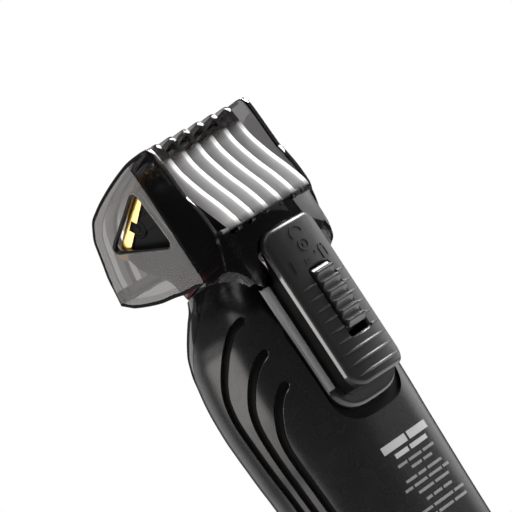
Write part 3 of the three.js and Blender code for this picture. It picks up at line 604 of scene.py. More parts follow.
def clear(name, color=(0.93, 0.93, 0.94), roughness=0.02, density=1550.0, frost=0.0):
    """clear plastic with flow ripple and scuffs. Density sets the smoky tint that builds up
    with thickness; frost (0 to 1) frosts the inner fins of the comb and turns on a painted highlight
    on them"""
    nodes = new_material(name)
    place = nodes.add("TexCoord", "Object")
    ripple = nodes.noise(90.0, place)
    scuffs = nodes.noise(700.0, place, detail=6.0, distortion=2.0)
    normal = nodes.relief(ripple, 0.012, 0.0004)
    if frost:
        position = nodes.add("SeparateXYZ", None, {0: place})
        facing = nodes.add("SeparateXYZ", None, {0: nodes.add("NewGeometry", "Normal")})
        off_centre = nodes.math("ABSOLUTE", position["X"])
        # the rear part of each side wall is shaded as if it leaned (positions in metres)
        on_wall = nodes.math(
            "MULTIPLY", nodes.math("GREATER_THAN", off_centre, 0.0168),
            nodes.math("GREATER_THAN", nodes.math("ABSOLUTE", facing["X"]), 0.7))
        rear = nodes.math("MULTIPLY", nodes.map_range(position["Y"], 0.0082, 0.0090), on_wall)
        side = nodes.math("SIGN", nodes.math("MULTIPLY", facing["X"], position["X"]))
        amount = nodes.math("MULTIPLY", nodes.math("MULTIPLY", rear, side), 0.30)
        lean = nodes.add("CombineXYZ", 0, {"Y": amount})
        leaned = nodes.add("VectorMath", 0, {0: normal, 1: lean}, operation="ADD")
        normal = nodes.add("VectorMath", 0, {0: leaned}, operation="NORMALIZE")
    skin = nodes.add("BsdfPrincipled", 0, {
        "Transmission Weight": 1.0, "IOR": 1.40,
        "Base Color": nodes.tint(ripple, color, 0.97, 1.03),
        "Roughness": nodes.map_range(scuffs, from_min=0.5, from_max=0.85,
                                     to_min=roughness, to_max=roughness + 0.06),
        "Normal": normal})
    if frost:
        # inner fins: frosted flanks pass a soft light; a white diffuse is mixed over them, stronger
        # on faces towards the back as a painted highlight
        fins = nodes.math(
            "MULTIPLY", nodes.math("LESS_THAN", off_centre, 0.0155),
            nodes.math("MULTIPLY", nodes.map_range(position["Z"], 0.1455, 0.1475),
                       nodes.map_range(position["Z"], 0.1655, 0.1630)))
        soft = nodes.add("BsdfTranslucent", 0, {"Color": (0.97, 0.97, 0.97, 1)})
        skin = nodes.mix_shader(nodes.math("MULTIPLY", fins, frost), skin, soft)
        to_back = nodes.math("GREATER_THAN", facing["Y"], 0.5)
        frost_and_highlight_level = nodes.math("ADD", nodes.math("MULTIPLY", to_back, 0.40), 0.42)
        frost_and_highlight_white = nodes.add("BsdfDiffuse", 0, {"Color": (0.9, 0.9, 0.9, 1)})
        skin = nodes.mix_shader(nodes.math("MULTIPLY", fins, frost_and_highlight_level), skin, frost_and_highlight_white)
    shadow = nodes.add("BsdfTransparent", 0, {"Color": (0.9, 0.9, 0.9, 1)})
    outputs = {"Surface": nodes.mix_shader(nodes.add("LightPath", "Is Shadow Ray"),
                                           skin, shadow)}
    if density:
        outputs["Volume"] = nodes.add("VolumeAbsorption", 0, {
            "Color": [0.30, 0.285, 0.285, 1], "Density": density})
    nodes.add("OutputMaterial", None, outputs)


moulded("satin_black", color=(0.0065, 0.006, 0.0065), roughness=0.27, grain=1500, bump=0.025,
        drift=0.02)
moulded("gloss_black", color=(0.006, 0.006, 0.007), roughness=0.13, grain=500, bump=0.006,
        drift=0.02, coat=0.3)
moulded("matte_black", color=(0.010, 0.010, 0.011), roughness=0.36, grain=2200, bump=0.05,
        drift=0.04)
# painted shade: near-black with little gloss, for the channel and groove floors, the plate's sides
# and the comb's wall outline
moulded("painted_shade_black", color=(0.003, 0.003, 0.003), roughness=0.6, grain=1200, specular=0.1)
# painted shade: opaque near-black for the window reveals of the clear comb
moulded("window_shade_black", color=(0.003, 0.003, 0.003), roughness=0.2, grain=600, bump=0.005,
        specular=0.35)
moulded("tongue_black", color=(0.008, 0.008, 0.0085), roughness=0.24, grain=700, bump=0.008,
        drift=0.03, specular=0.6)
# painted highlight: lighter, glossy grey for the rounded rim of the comb's tongue
moulded("highlight_grey", color=(0.20, 0.20, 0.20), roughness=0.22, grain=700, bump=0.008,
        drift=0.03, specular=0.8, coat=0.6)
# painted highlight: lighter, glossier black for thin bands on the thumb plate's sides and the comb
# window
moulded("highlight_gloss", color=(0.03, 0.03, 0.03), roughness=0.2, bump=0.01, drift=0.03,
        specular=0.9, coat=0.7)
brushed("gold_shadow", color=(0.30, 0.20, 0.08), roughness=0.4, scale=(30, 900, 900), bump=0.04)
# painted highlight: lighter, glossier black for the lower lips of the grip grooves
moulded("groove_lip_highlight", color=(0.02, 0.019, 0.02), roughness=0.27, grain=1500, drift=0.02,
        specular=0.9, coat=0.5)
moulded("head_black", color=(0.006, 0.006, 0.007), roughness=0.42, drift=0.05,
        edge_radius=0.15, specular=0.06)
moulded("chassis_plastic", color=(0.03, 0.031, 0.034), roughness=0.55, grain=1200, bump=0.06)
moulded("red_metal", color=(0.09, 0.003, 0.007), roughness=0.28, grain=2600, bump=0.03,
        drift=0.04, metallic=0.85, coat=0.25, edge_radius=0.1)
moulded("pale_nylon", color=(0.68, 0.66, 0.6), roughness=0.5, bump=0.05)
moulded("rubber", color=(0.02, 0.02, 0.02), roughness=0.75, grain=1600, bump=0.12)
moulded("magnet", color=(0.05, 0.05, 0.055), roughness=0.7, grain=2500, bump=0.2)
moulded("cell_wrap", color=(0.05, 0.22, 0.12), roughness=0.3, grain=300, bump=0.03, coat=0.3)
moulded("board_green", color=(0.02, 0.12, 0.05), roughness=0.4, grain=700, bump=0.08)
moulded("wire_red", color=(0.35, 0.02, 0.02), roughness=0.5, grain=800, bump=0.04)
moulded("wire_black", color=(0.015, 0.015, 0.015), roughness=0.5, grain=800, bump=0.04)
brushed("gold_blade", color=(0.86, 0.56, 0.18), roughness=0.26, scale=(30, 900, 900), bump=0.04)
brushed("steel", color=(0.62, 0.62, 0.63), roughness=0.3)
brushed("blade_steel", color=(0.42, 0.42, 0.43), roughness=0.33, scale=(1200, 40, 40))
brushed("nickel", color=(0.68, 0.66, 0.61), roughness=0.25, scale=(300, 300, 300))
brushed("copper", color=(0.72, 0.36, 0.18), roughness=0.3, scale=(1500, 60, 60))
clear("smoke_clear", frost=0.6)
clear("lens_clear", color=(0.8, 0.93, 0.82), roughness=0.15, density=0.0)
moulded("ink", color=(0.32, 0.32, 0.32), roughness=0.45, grain=1800, bump=0.05)
moulded("ink_fine", color=(0.15, 0.15, 0.15), roughness=0.45, grain=1800, bump=0.05)

# ------------------------------------------------------------------ outer skin of the handle
FINE_Z = np.linspace(-1, 146, 2941)
FINE_BODY = smooth_table(BODY, FINE_Z)


def body_at(z):
    """half width, front depth and back depth of the handle at z"""
    z = np.asarray(z, float)
    return [np.interp(z, FINE_Z, FINE_BODY[:, k]) for k in (1, 2, 3)]


def skin_size(y, z):
    """half width, and the depth on the side of y"""
    half, front, back = body_at(z)
    return half, np.where(y > 0, back, front)


def skin_value(points):
    """1 on the outer skin, less inside"""
    x, y, z = points.T
    half, depth = skin_size(y, z)
    return (np.abs(x) / half) ** BODY_POWER + (np.abs(y) / depth) ** BODY_POWER


def skin_normal(points):
    x, y, z = points.T
    half, depth = skin_size(y, z)
    slope = np.zeros_like(points)
    for k, (value, size) in enumerate(((x, half), (y, depth))):
        ratio = (np.abs(value) / size) ** (BODY_POWER - 1)
        slope[:, k] = BODY_POWER * np.sign(value) * ratio / size
    rise = np.array([0, 0, 0.15])
    slope[:, 2] = (skin_value(points + rise) - skin_value(points - rise)) / 0.3
    return slope / np.linalg.norm(slope, axis=1, keepdims=True)


def skin_point(y, z):
    """x > 0 on the skin for a given y and z"""
    half, depth = skin_size(y, z)
    return half * np.maximum(0, 1 - (np.abs(y) / depth) ** BODY_POWER) ** (1 / BODY_POWER)


def super_ring(angles, z, half, front, back, power=BODY_POWER):
    """superellipse ring with its own front and back depths"""
    cosine, sine = np.cos(angles), np.sin(angles)
    x = half * np.sign(cosine) * np.abs(cosine) ** (2 / power)
    y = np.where(sine > 0, back, front) * np.sign(sine) * np.abs(sine) ** (2 / power)
    return np.column_stack([x, y, np.full(len(angles), z)])


def even_angles(step):
    """ring angles about step mm apart on a typical section of the handle"""
    angles = np.linspace(0, 2 * np.pi, 40001)
    run = run_length(super_ring(angles, 0, 20.6, 15, 15)[:, :2])
    count = int(run[-1] / step / 4) * 4
    return np.interp(np.arange(count) / count * run[-1], run, angles)


def body_ring(angles, z, inset, section_z=None):
    """ring at z, set in from the handle section at z or at section_z"""
    sizes = body_at(z if section_z is None else section_z)
    return super_ring(angles, z, *[float(size) - inset for size in sizes])


def body_loft(zs, inset, step):
    angles = even_angles(step)
    return loft([body_ring(angles, z, inset) for z in zs])


def groove_tool(line, side):
    """cutter for one groove; it fades out in width and depth towards the lower end"""
    wide_top, wide_low = 1.02, 0.84
    path = catmull(line, 12)
    run = run_length(path)
    total = run[-1]
    stations = np.linspace(0, total, int(total / 0.5) + 1)
    # extra stations for the round top end
    stations = np.concatenate([stations[:1], [0.1, 0.25], stations[1:]])
    y, z = [np.interp(stations, run, path[:, k]) for k in (0, 1)]
    points = np.column_stack([skin_point(y, z), y, z])
    outward = skin_normal(points)
    along = np.gradient(points, axis=0)
    along /= np.linalg.norm(along, axis=1, keepdims=True)
    across = np.cross(outward, along)
    across /= np.linalg.norm(across, axis=1, keepdims=True)
    if across[len(across) // 2, 1] < 0:
        across = -across
    rings = []
    for point, sideways, out, done in zip(points, across, outward, stations):
        left = total - done
        taper = math.sqrt(min(1, (done + 0.06) / 0.6)) * min(1, left / 6 + 0.12)
        wide = (wide_top + (wide_low - wide_top) * min(1, done / 45)) * max(0.12, taper)
        deep = max(0.04, min(1, left / 14 + 0.03)) * min(1, 0.4 + taper)
        # across the groove, out of the skin
        section = [(-wide - 0.22, 0.7), (-wide - 0.02, 0.05), (-wide + 0.06, -0.12 * deep),
                   (-wide + 0.10, -deep * 0.9), (-wide + 0.24, -deep), (wide * 0.35, -deep),
                   (wide * 0.5, -deep * 0.9), (wide * 0.95, -deep * 0.25),
                   (wide + 0.16, -0.07 * deep), (wide + 0.42, 0.03), (wide + 0.6, 0.7)]
        rings.append([point + sideways * u + out * v for u, v in section])
    rings = np.array(rings)
    rings[:, :, 0] *= side
    return loft(rings)


def above_neck(rise):
    """everything above the neck plane moved up by rise"""
    low, high = [NECK_Z + rise + y * NECK_SLOPE for y in (-40, 40)]
    return prism([[-40, low], [40, high], [40, 190], [-40, 190]], "x", -40, 40)


def behind_seam(gap):
    line = [[y + gap, z] for z, y in catmull(SEAM[:, :], 6)]
    return prism([[60, -5]] + line + [[60, 150]], "x", -40, 40)


def set_skin_normals(obj):
    """true surface normals on every corner that lies on the outer skin"""
    mesh = obj.data
    corner_vert = read_array(mesh.loops, "vertex_index", 1, int)
    points = read_array(mesh.vertices, "co", 3) / MM
    facing = read_array(mesh.polygons, "normal", 3)
    corners = read_array(mesh.polygons, "loop_total", 1, int)
    corner_face = np.repeat(np.arange(len(mesh.polygons)), corners)
    value, outward = skin_value(points), skin_normal(points)
    custom = np.zeros((len(corner_vert), 3))
    good = ((np.abs(value[corner_vert] - 1) < 0.01)
            & ((outward[corner_vert] * facing[corner_face]).sum(1) > 0.94))
    custom[good] = outward[corner_vert][good]
    mesh.normals_split_custom_set([tuple(v) for v in custom])


# ------------------------------------------------------------------ handle
def at_screw(side):
    """puts a piece turned about z on a housing screw's axis, pointing to the back"""
    return pose(side * SCREW_X, 0, SCREW_Z, -math.pi / 2)


def make_back_shell(shell, inner):
    # solid wall is left under the channel
    subtract(inner, box(-14, 14, CHANNEL_Y - 1.7, 40, 94, 150))
    subtract(shell, inner)
    for side in (-1, 1):
        # screw boss, turned towards the front and then mirrored to the back
        boss = cylinder(3.4, 2.2, 14.0, 32, centre=(side * SCREW_X, 0, SCREW_Z), to_front=True)
        for vertex in boss.data.vertices:
            vertex.co.y = -vertex.co.y
        boss.data.flip_normals()
        unite(shell, boss)
    boolean(shell, behind_seam(0.1), "INTERSECT")
    channel = round_end(12.4, 97.2 + 7, 7, 32) + [[12.4, 150], [-12.4, 150]]
    subtract(shell, prism(channel, "y", CHANNEL_Y, 30), box(-2.2, 2.2, 10, 16, 102.5, 129.9))
    counterbore = [[0, 8.2], [2.6, 8.2], [2.6, 14.2], [2.9, 14.6], [2.9, 20], [0, 20]]
    for side in (-1, 1):
        subtract(shell, placed(cylinder(1.3, 0, 20, 32), at_screw(side)),
                 placed(lathe(counterbore, 32), at_screw(side)))
    for line in GROOVES:
        for side in (-1, 1):
            subtract(shell, groove_tool(line, side))
    subtract(shell, above_neck(0))
    finish(shell, "back_shell", "handle", "satin_black", "back_housing",
           extra=["painted_shade_black", "groove_lip_highlight"], weighted=False)
    set_skin_normals(shell)

    centre, facing = face_geometry(shell)
    x, y, z = np.abs(centre[:, 0]), centre[:, 1], centre[:, 2]
    value, outward = skin_value(centre), skin_normal(centre)
    flank = (x > 13) & (z < 130) & ((outward * facing).sum(1) > 0.3)
    channel_shade = (x < 12.45) & (z > 97) & (y > 13.4) & (y < 15.4) & (value < 0.985)
    groove_floor_shade = flank & (z > 30) & (value < 0.93) & (value > 0.82)
    groove_lip_highlight = (flank & (z > 34) & (y > -6) & (y < 13.5) & (value < 0.99)
                  & (value > 0.945) & (facing[:, 1] < outward[:, 1]))
    # painted shade: the channel floor and the groove floors get a near-black, low-gloss material
    paint(shell, 1, channel_shade | groove_floor_shade)
    # painted highlight: the lower lip of each groove gets a lighter, glossier material
    paint(shell, 2, groove_lip_highlight)


def make_front_shell(shell, inner):
    subtract(shell, inner, behind_seam(-0.1))
    for side in (-1, 1):
        unite(shell, placed(cylinder(2.7, -13.0, 1.8, 24), at_screw(side)))
    for side in (-1, 1):
        subtract(shell, placed(cylinder(1.05, -10, 20, 20), at_screw(side)))
    subtract(shell,
             prism(rounded_rect(-6.4, 6.4, 88.4, 113.6, 3, 12), "y", -25, -14.7),
             prism(rounded_rect(-2.3, 2.3, 96.5, 107.5, 1.0, 6), "y", -25, -10),
             placed(cylinder(1.5, 10, 20, 32), pose(0, 0, LED_Z, math.pi / 2)),
             above_neck(0))
    finish(shell, "front_shell", "handle", "gloss_black", "front_housing", weighted=False)
    set_skin_normals(shell)


def make_shells():
    rows = np.concatenate([np.arange(8.3, 30, 1.5), np.arange(30, 95, 1.3),
                           np.arange(95, 133, 0.7), np.arange(133, 143.6, 0.5)])
    inner_rows = np.concatenate([np.arange(7, 95, 4.0), np.arange(95, 144.5, 1.5)])
    outer = body_loft(rows, 0, 0.5)
    inner = body_loft(inner_rows, WALL, 1.4)
    make_back_shell(duplicate(outer), duplicate(inner))
    make_front_shell(outer, inner)


def make_base_cap():
    """cap with a round bottom edge, a spigot and the socket opening"""
    top = 8.0
    angles = even_angles(0.8)
    rows = [0, 0.08, 0.3, 0.6, 1, 1.6, 2.5, 3.6, 5, 6.5, 7.85, top]
    cap = loft([body_ring(angles, z, 0.12 if z == top else 0) for z in rows])
    unite(cap, loft([body_ring(angles, z, 1.95, top) for z in (4, 11.5)]))
    opening = [[0, -1], [3.25, -1], [3.25, 0.05], [2.9, 0.4], [2.9, 1.2], [4.0, 1.2],
               [4.0, 5], [0, 5]]
    subtract(cap, loft([body_ring(angles, z, 3.3, top) for z in (3, 20)]),
             lathe(opening, 48, JACK_CENTRE))
    finish(cap, "base_cap_shell", "handle", "satin_black", "base_cap")


def make_charging_socket():
    socket = [[0, 9.5], [3.6, 9.5], [3.85, 9.2], [3.85, 1.6], [3.7, 1.4], [3.0, 1.4],
              [2.8, 1.6], [2.8, 8.2], [0, 8.2]]
    pin = [[0, 2.2], [0.35, 2.25], [0.6, 2.6], [0.65, 3.0], [0.65, 8.2], [0, 8.2]]
    finish(lathe(socket, 48, JACK_CENTRE), "charging_socket", "handle", "matte_black",
           "charging_jack")
    finish(lathe(pin, 28, JACK_CENTRE), "socket_pin", "handle", "nickel", "jack_pin")


NECK_ANGLES = np.linspace(0, 2 * np.pi, 161)[:-1]


def make_neck_ring():
    """red ring with rolled edges, closed both round the neck and round its section"""
    # inset, height
    section = [(2.3, 0.15), (2.15, 0.0), (0.45, 0.0), (0.18, 0.1), (0.04, 0.32), (0.0, 0.7),
               (0.0, 1.5), (0.04, 1.88), (0.18, 2.1), (0.45, 2.2), (2.15, 2.2), (2.3, 2.05)]
    loops = np.array([super_ring(NECK_ANGLES, z, 11.6 - inset, 8.5 - inset, 9.7 - inset, 2.6)
                      for inset, z in section])
    index = np.arange(loops.shape[0] * loops.shape[1]).reshape(loops.shape[:2])
    turned, above = np.roll(index, -1, 1), np.roll(index, -1, 0)
    quads = np.stack([index, turned, np.roll(turned, -1, 0), above], -1)
    ring = new_object(loops.reshape(-1, 3), quads.reshape(-1, 4).tolist())
    placed(ring, pose(0, 0, NECK_Z + 0.3, math.atan(NECK_SLOPE)))
    finish(ring, "neck_ring_band", "handle", "red_metal", "neck_ring")


# ------------------------------------------------------------------ cutting head
# from the blade plane's own axes (x, up the plane, out of the plane) to the groomer's
SLANT = pose(0, BLADE_Y, BLADE_Z, BLADE_TILT)

# head section: z, half width, front depth, back depth, superellipse power
HEAD = np.array([
    [139, 11.0, 8.1, 9.3, 2.6], [144, 12.0, 8.8, 10.2, 2.8], [147.5, 14.6, 9.6, 11.4, 3.4],
    [150.5, 16.2, 9.9, 11.8, 4.5], [155, 16.4, 9.9, 10.9, 6], [159, 16.4, 9.9, 9.2, 6],
    [162, 16.4, 9.9, 7.2, 6], [164, 16.4, 9.9, 5.2, 6], [169, 16.4, 9.9, 1.2, 6]])


def slanted_box(*limits):
    return placed(box(*limits), SLANT)


def head_loft(rows, inset, count):
    """head solid whose rings have count evenly spaced points"""
    angles = np.linspace(0, 2 * np.pi, 6001)
    rings = []
    for z, half, front, back, power in smooth_table(HEAD, np.linspace(139, 169, rows)):
        ring = super_ring(angles, z, half - inset, max(0.5, front - inset),
                          max(0.5, back - inset), power)[:, :2]
        run = run_length(ring)
        wanted = np.arange(count) / count * run[-1]
        even = np.column_stack([np.interp(wanted, run, ring[:, k]) for k in (0, 1)])
        rings.append(lift(even, "z", z))
    return loft(rings)


def make_head():
    outer = head_loft(44, 0, 160)
    inner = head_loft(16, WALL, 100)
    head = duplicate(outer)
    boolean(head, above_neck(2.8), "INTERSECT")
    subtract(head, inner)
    sleeve = loft([super_ring(NECK_ANGLES, z, 8.8, 6.2, 7.0, 2.6) for z in (136.6, 144.2)])
    bore = loft([super_ring(NECK_ANGLES, z, 7.4, 4.9, 5.7, 2.6) for z in (136, 145)])
    subtract(sleeve, bore)
    unite(head, sleeve)
    # posts under the blade: x range, upper end along the plane, depth below the plane
    for x0, x1, upper, depth in ((6.9, 11.4, 5.4, -6.6), (-11.4, -6.9, 5.4, -6.6),
                                 (14.9, 18, 18, -3.5), (-18, -14.9, 18, -3.5)):
        post = slanted_box(x0, x1, -4, upper, depth, 6)
        boolean(post, outer, "INTERSECT", keep_tool=True)
        unite(head, post)
    bpy.data.objects.remove(outer)
    # seat of the fixed blade, and the deeper one of the moving blade
    subtract(head, slanted_box(-25, 25, -20, 40, -1.15, 40),
             slanted_box(-14.8, 14.8, 8.0, 40, -2.15, 10))
    for side in (-1, 1):
        hole = cylinder(0.95, -9, 2, 24, centre=(side * BLADE_SCREW_X, BLADE_SCREW_UP, 0))
        subtract(head, placed(hole, SLANT))
    # side bosses with a short latch lever
    boss = [[0, 15.6], [2.15, 15.6], [2.15, 16.66], [2.0, 16.82], [1.55, 16.86],
            [1.35, 16.7], [0.75, 16.7], [0.6, 16.9], [0, 16.92]]
    lever = rounded_poly([[1.2, 158.6], [1.4, 155.4], [5.4, 155.2], [6.4, 157.4],
                          [4.6, 158.8]], 0.5)
    for side in (-1, 1):
        unite(head, placed(lathe(boss, 40), pose(0, -0.4, 156.9, side * math.pi / 2, "Y")),
              prism(lever, "x", *mirrored(15.4, 16.72, side), edge=0.15))
    finish(head, "head_shell", "handle", "head_black", "head_frame", sharp=28)


def blade_outline(half, start, root, tip, count, notched=False):
    """blade from start up to a row of tapered teeth with round tips"""
    pitch, wide, narrow = 2.2, 1.4, 0.7
    notch = [[half, 7.6], [half - 1.1, 8.0], [half - 1.1, 9.6], [half, 10.0]] * notched
    out = [[-half, start], [half, start], *notch, [half, root - 0.6]]
    for i in range(count - 1, -1, -1):
        x = (i - (count - 1) / 2) * pitch
        out.append([x + wide / 2, root])
        for k in range(7):
            angle = math.pi * k / 6
            out.append([x + narrow / 2 * math.cos(angle),
                        tip - narrow / 2 + narrow / 2 * math.sin(angle)])
        out.append([x - wide / 2, root])
        if i:
            out.append([x - pitch / 2, root - 0.25])
    return out + [[-half, root - 0.6]] + [[-x, y] for x, y in reversed(notch)]


def make_fixed_blade():
    blade = prism(blade_outline(16.5, 0, 17.2, 20.2, 15, notched=True), "z", -1.0, 0)
    for side in (-1, 1):
        subtract(blade, cylinder(1.05, -3, 2, 32,
                                 centre=(side * BLADE_SCREW_X, BLADE_SCREW_UP, 0)))
    bevel(blade, 0.1, 2, 40)
    # turned-down side flanges with a clip notch
    flange = [[0.6, -0.3], [0.6, -2.8], [7.6, -2.8], [7.6, -1.35], [10.0, -1.35],
              [10.0, -2.8], [15.9, -2.8], [17.4, -1.4], [17.4, -0.3]]
    for side in (-1, 1):
        unite(blade, prism(flange, "x", *mirrored(16.35, 16.95, side), edge=0.08))
    crease_at_y(blade, BLADE_ROOT)
    placed(blade, SLANT)
    finish(blade, "fixed_blade_plate", "handle", "gold_blade", "fixed_blade",
           extra=["gold_shadow"], sharp=25)
    centre, _ = face_geometry(blade)
    up_plane = ((centre[:, 1] - BLADE_Y) * math.cos(BLADE_TILT)
                + (centre[:, 2] - BLADE_Z) * math.sin(BLADE_TILT))
    paint(blade, 1, up_plane > BLADE_ROOT)


def make_moving_blade():
    blade = prism(blade_outline(13.3, 9.0, 16.6, 19.2, 12), "z", -1.95, -1.1)
    bevel(blade, 0.07, 1, 40)
    placed(blade, SLANT)
    finish(blade, "moving_blade_plate", "cutter", "blade_steel", "moving_blade", sharp=25)


def make_blade_screws():
    profile = [[0, -7.9], [0.6, -7.9], [0.85, -7.6], [0.85, 0.05], [1.9, 0.05],
               [1.92, 0.25], [1.78, 0.62], [1.45, 0.82], [0, 0.9]]
    for side, word in ((1, "left"), (-1, "right")):
        screw = lathe(profile, 40)
        subtract(screw, box(-1.3, 1.3, -0.25, 0.25, 0.5, 1.3))
        spot = pose(side * BLADE_SCREW_X, BLADE_SCREW_UP, 0, 0.6 * side, "Z")
        placed(screw, SLANT @ spot)
        finish(screw, f"blade_screw_{word}_head", "handle", "steel", f"blade_screw_{word}")


# ------------------------------------------------------------------ comb guide
CURVE_STEPS = 6

# comb seen from the side, all as y, z: top edge, from the back down to the front
COMB_TOP = [[12.9, 169.5], [9, 169.4], [5.2, 168.7], [1.0, 167.6], [-3.2, 166.2], [-6, 165],
            [-8.1, 163.9], [-9.5, 162.3], [-10.9, 160.2], [-11.6, 158.1], [-12.5, 154.9],
            [-13.4, 151.8], [-13.9, 148.6], [-14.4, 145.5]]
# lower and back edges of the side walls
WALL_LOW = [[-11.6, 143.5], [-8.8, 142.4], [-4.6, 141.1], [-0.4, 140.4], [2.4, 139.8],
            [5.9, 139.5], [7.95, 139.0], [11, 138.0]]
WALL_BACK = [[15.2, 139], [16.6, 143], [17, 146.5], [16.6, 152], [16.2, 157], [15.8, 165.6],
             [15.4, 168.2], [14.6, 169.3]]
# inner edge of the fins, up from the front
FIN_INNER = [[-12.5, 145.9], [-12.1, 148.2], [-11.5, 151.3], [-10.6, 154.4], [-9.7, 157.5],
             [-8.9, 159.2], [-7.8, 160.8], [-6.6, 162.0], [-5.0, 163.1], [-2.6, 164.3],
             [1.5, 165.7], [5.4, 166.9], [8.6, 167.3]]
# back leg of a fin: inner edge going down, outer edge going up
OUTERMOST_LEG = (
    [[8.6, 167.3], [10.4, 166.0], [11.0, 161.6], [12.6, 156], [13.9, 151], [14.8, 146.4],
     [14.8, 144.6]],
    [[17.0, 144.6], [17.6, 146.5], [17.4, 151], [16.4, 156], [14.6, 161.6], [14.1, 166.2],
     [13.7, 168.6], [12.9, 169.5]])
MIDDLE_LEG = (
    [[8.6, 167.3], [10.1, 166.6], [10.6, 165.2], [11.2, 161.6], [13.4, 156], [15.7, 151],
     [17.7, 146.4], [17.9, 144.6]],
    [[20.2, 144.6], [20.6, 146.5], [19.0, 151], [16.7, 156], [14.7, 161.6], [14.1, 166.2],
     [13.7, 168.6], [12.9, 169.5]])
# back panel: z, y at the middle, y at the sides
PANEL = np.array([[131, 16.4, 16.2], [134, 17.4, 17.2], [137, 18.4, 17.3],
                  [141, 19.6, 17.4], [146.6, 20.6, 17.6], [149, 20.9, 17.6]])

WINDOW = rounded_poly([[5.7, 163.5], [6.8, 149.6], [-8.0, 155.8]], 0.9, 8)
WALL_OUTLINE = clean(np.vstack([catmull([[13.2, 169.5]] + COMB_TOP[1:], CURVE_STEPS),
                                catmull(WALL_LOW, CURVE_STEPS),
                                catmull(WALL_BACK, CURVE_STEPS)]), 0.08)


def side_wall(side):
    """side wall with a triangular window, a rim, and a thinner field on its inner face"""
    inner_x = COMB_HALF - COMB_WALL
    low, high = mirrored(inner_x, COMB_HALF, side)
    wall = round_prism(WALL_OUTLINE, "x", low, high, 0.32, band=0.85)
    outline = clean(offset_poly(WALL_OUTLINE, 1.9), 0.25)
    outline = outline[outline[:, 0] < 8.6]
    field_low, field_high = mirrored(inner_x - 1, inner_x + 0.4, side)
    field = prism(outline, "x", field_low, field_high)
    # full thickness is left round the window
    subtract(field, prism(offset_poly(WINDOW, -0.95), "x", field_low - 1, field_high + 1))
    subtract(wall, field, flared_cutter(WINDOW, low, high, 0.6, 5))
    return wall


def fin(x):
    outermost = abs(x) > 18
    down, up = OUTERMOST_LEG if outermost else MIDDLE_LEG
    outline = np.vstack([catmull(COMB_TOP, CURVE_STEPS), catmull(FIN_INNER, CURVE_STEPS),
                         catmull(down, CURVE_STEPS)[1:], catmull(up, CURVE_STEPS)[:-1]])
    return round_prism(clean(outline, 0.08), "x", x - 0.75, x + 0.75,
                       0.3 if outermost else 0.15)


def panel_ring(z, middle, edge, inset):
    """bowed back panel with round corners, open towards the front in plan"""
    radius = 3.2
    flat = COMB_HALF - inset - radius
    front = -2 if inset else 4
    corner = edge - inset - radius
    arc = [[flat + radius * math.cos(a), corner + radius * math.sin(a)]
           for a in np.linspace(0, math.pi / 2, 13)]
    start = arc[-1][1]
    bow = [[x, start + (middle - inset - start) * (1 - (x / flat) * (x / flat))]
           for x in np.linspace(flat, -flat, 25)[1:-1]]
    out = [[COMB_HALF - inset, front], *arc, *bow, *[[-x, y] for x, y in reversed(arc)],
           [-(COMB_HALF - inset), front]]
    return lift(out, "z", z)


def panel_loft(table, low, high, inset):
    return loft([panel_ring(*row, inset) for row in smooth_table(table, np.linspace(low, high, 25))])


def back_panel():
    panel = panel_loft(PANEL, 131, 147.6, 0)
    subtract(panel, panel_loft(np.vstack([[129, 16.0, 15.8], PANEL]), 130, 148.5, COMB_WALL))
    # outline from behind (x, z): lower edge, dipped top edge, lower edge mirrored
    low = catmull([[12.2, 131.6], [14.8, 133.2], [16.4, 135.2], [18.0, 137.6],
                   [19.2, 139.0], [20.4, 139.5]], 6)
    top = [[x, 146.75 - 1.15 * max(0, 1 - (abs(x) / 16.2) ** 2.4)]
           for x in np.linspace(20.4, -20.4, 41)]
    outline = clean(np.vstack([low, top, low[::-1] * [-1, 1]]), 0.05)
    boolean(panel, round_prism(outline, "y", 0, 30, 0.01, 1), "INTERSECT")
    # outline from the side (y, z)
    side = [[3.9, 139.9], [7.95, 139.0], [11, 138.0], [13.2, 136.4], [14, 134], [14, 120],
            [30, 120], [30, 160], [3.9, 160]]
    boolean(panel, prism(side, "x", -30, 30), "INTERSECT")
    bevel(panel, 0.35, 4, 50)
    return panel


def comb_tongue():
    """flat tongue that lies in the channel of the back shell"""
    half = 11.76
    outline = clean(round_end(half, 106.2, 6.5, 30) + [[half, 140], [-half, 140]])
    # inset, y
    return inset_loft(outline, "y", [(0.15, 13.9), (0.0, 14.05), (0.0, 14.5), (0.08, 14.9),
                                     (0.28, 15.25), (0.6, 15.5), (1.0, 15.6), (1.6, 15.62)])


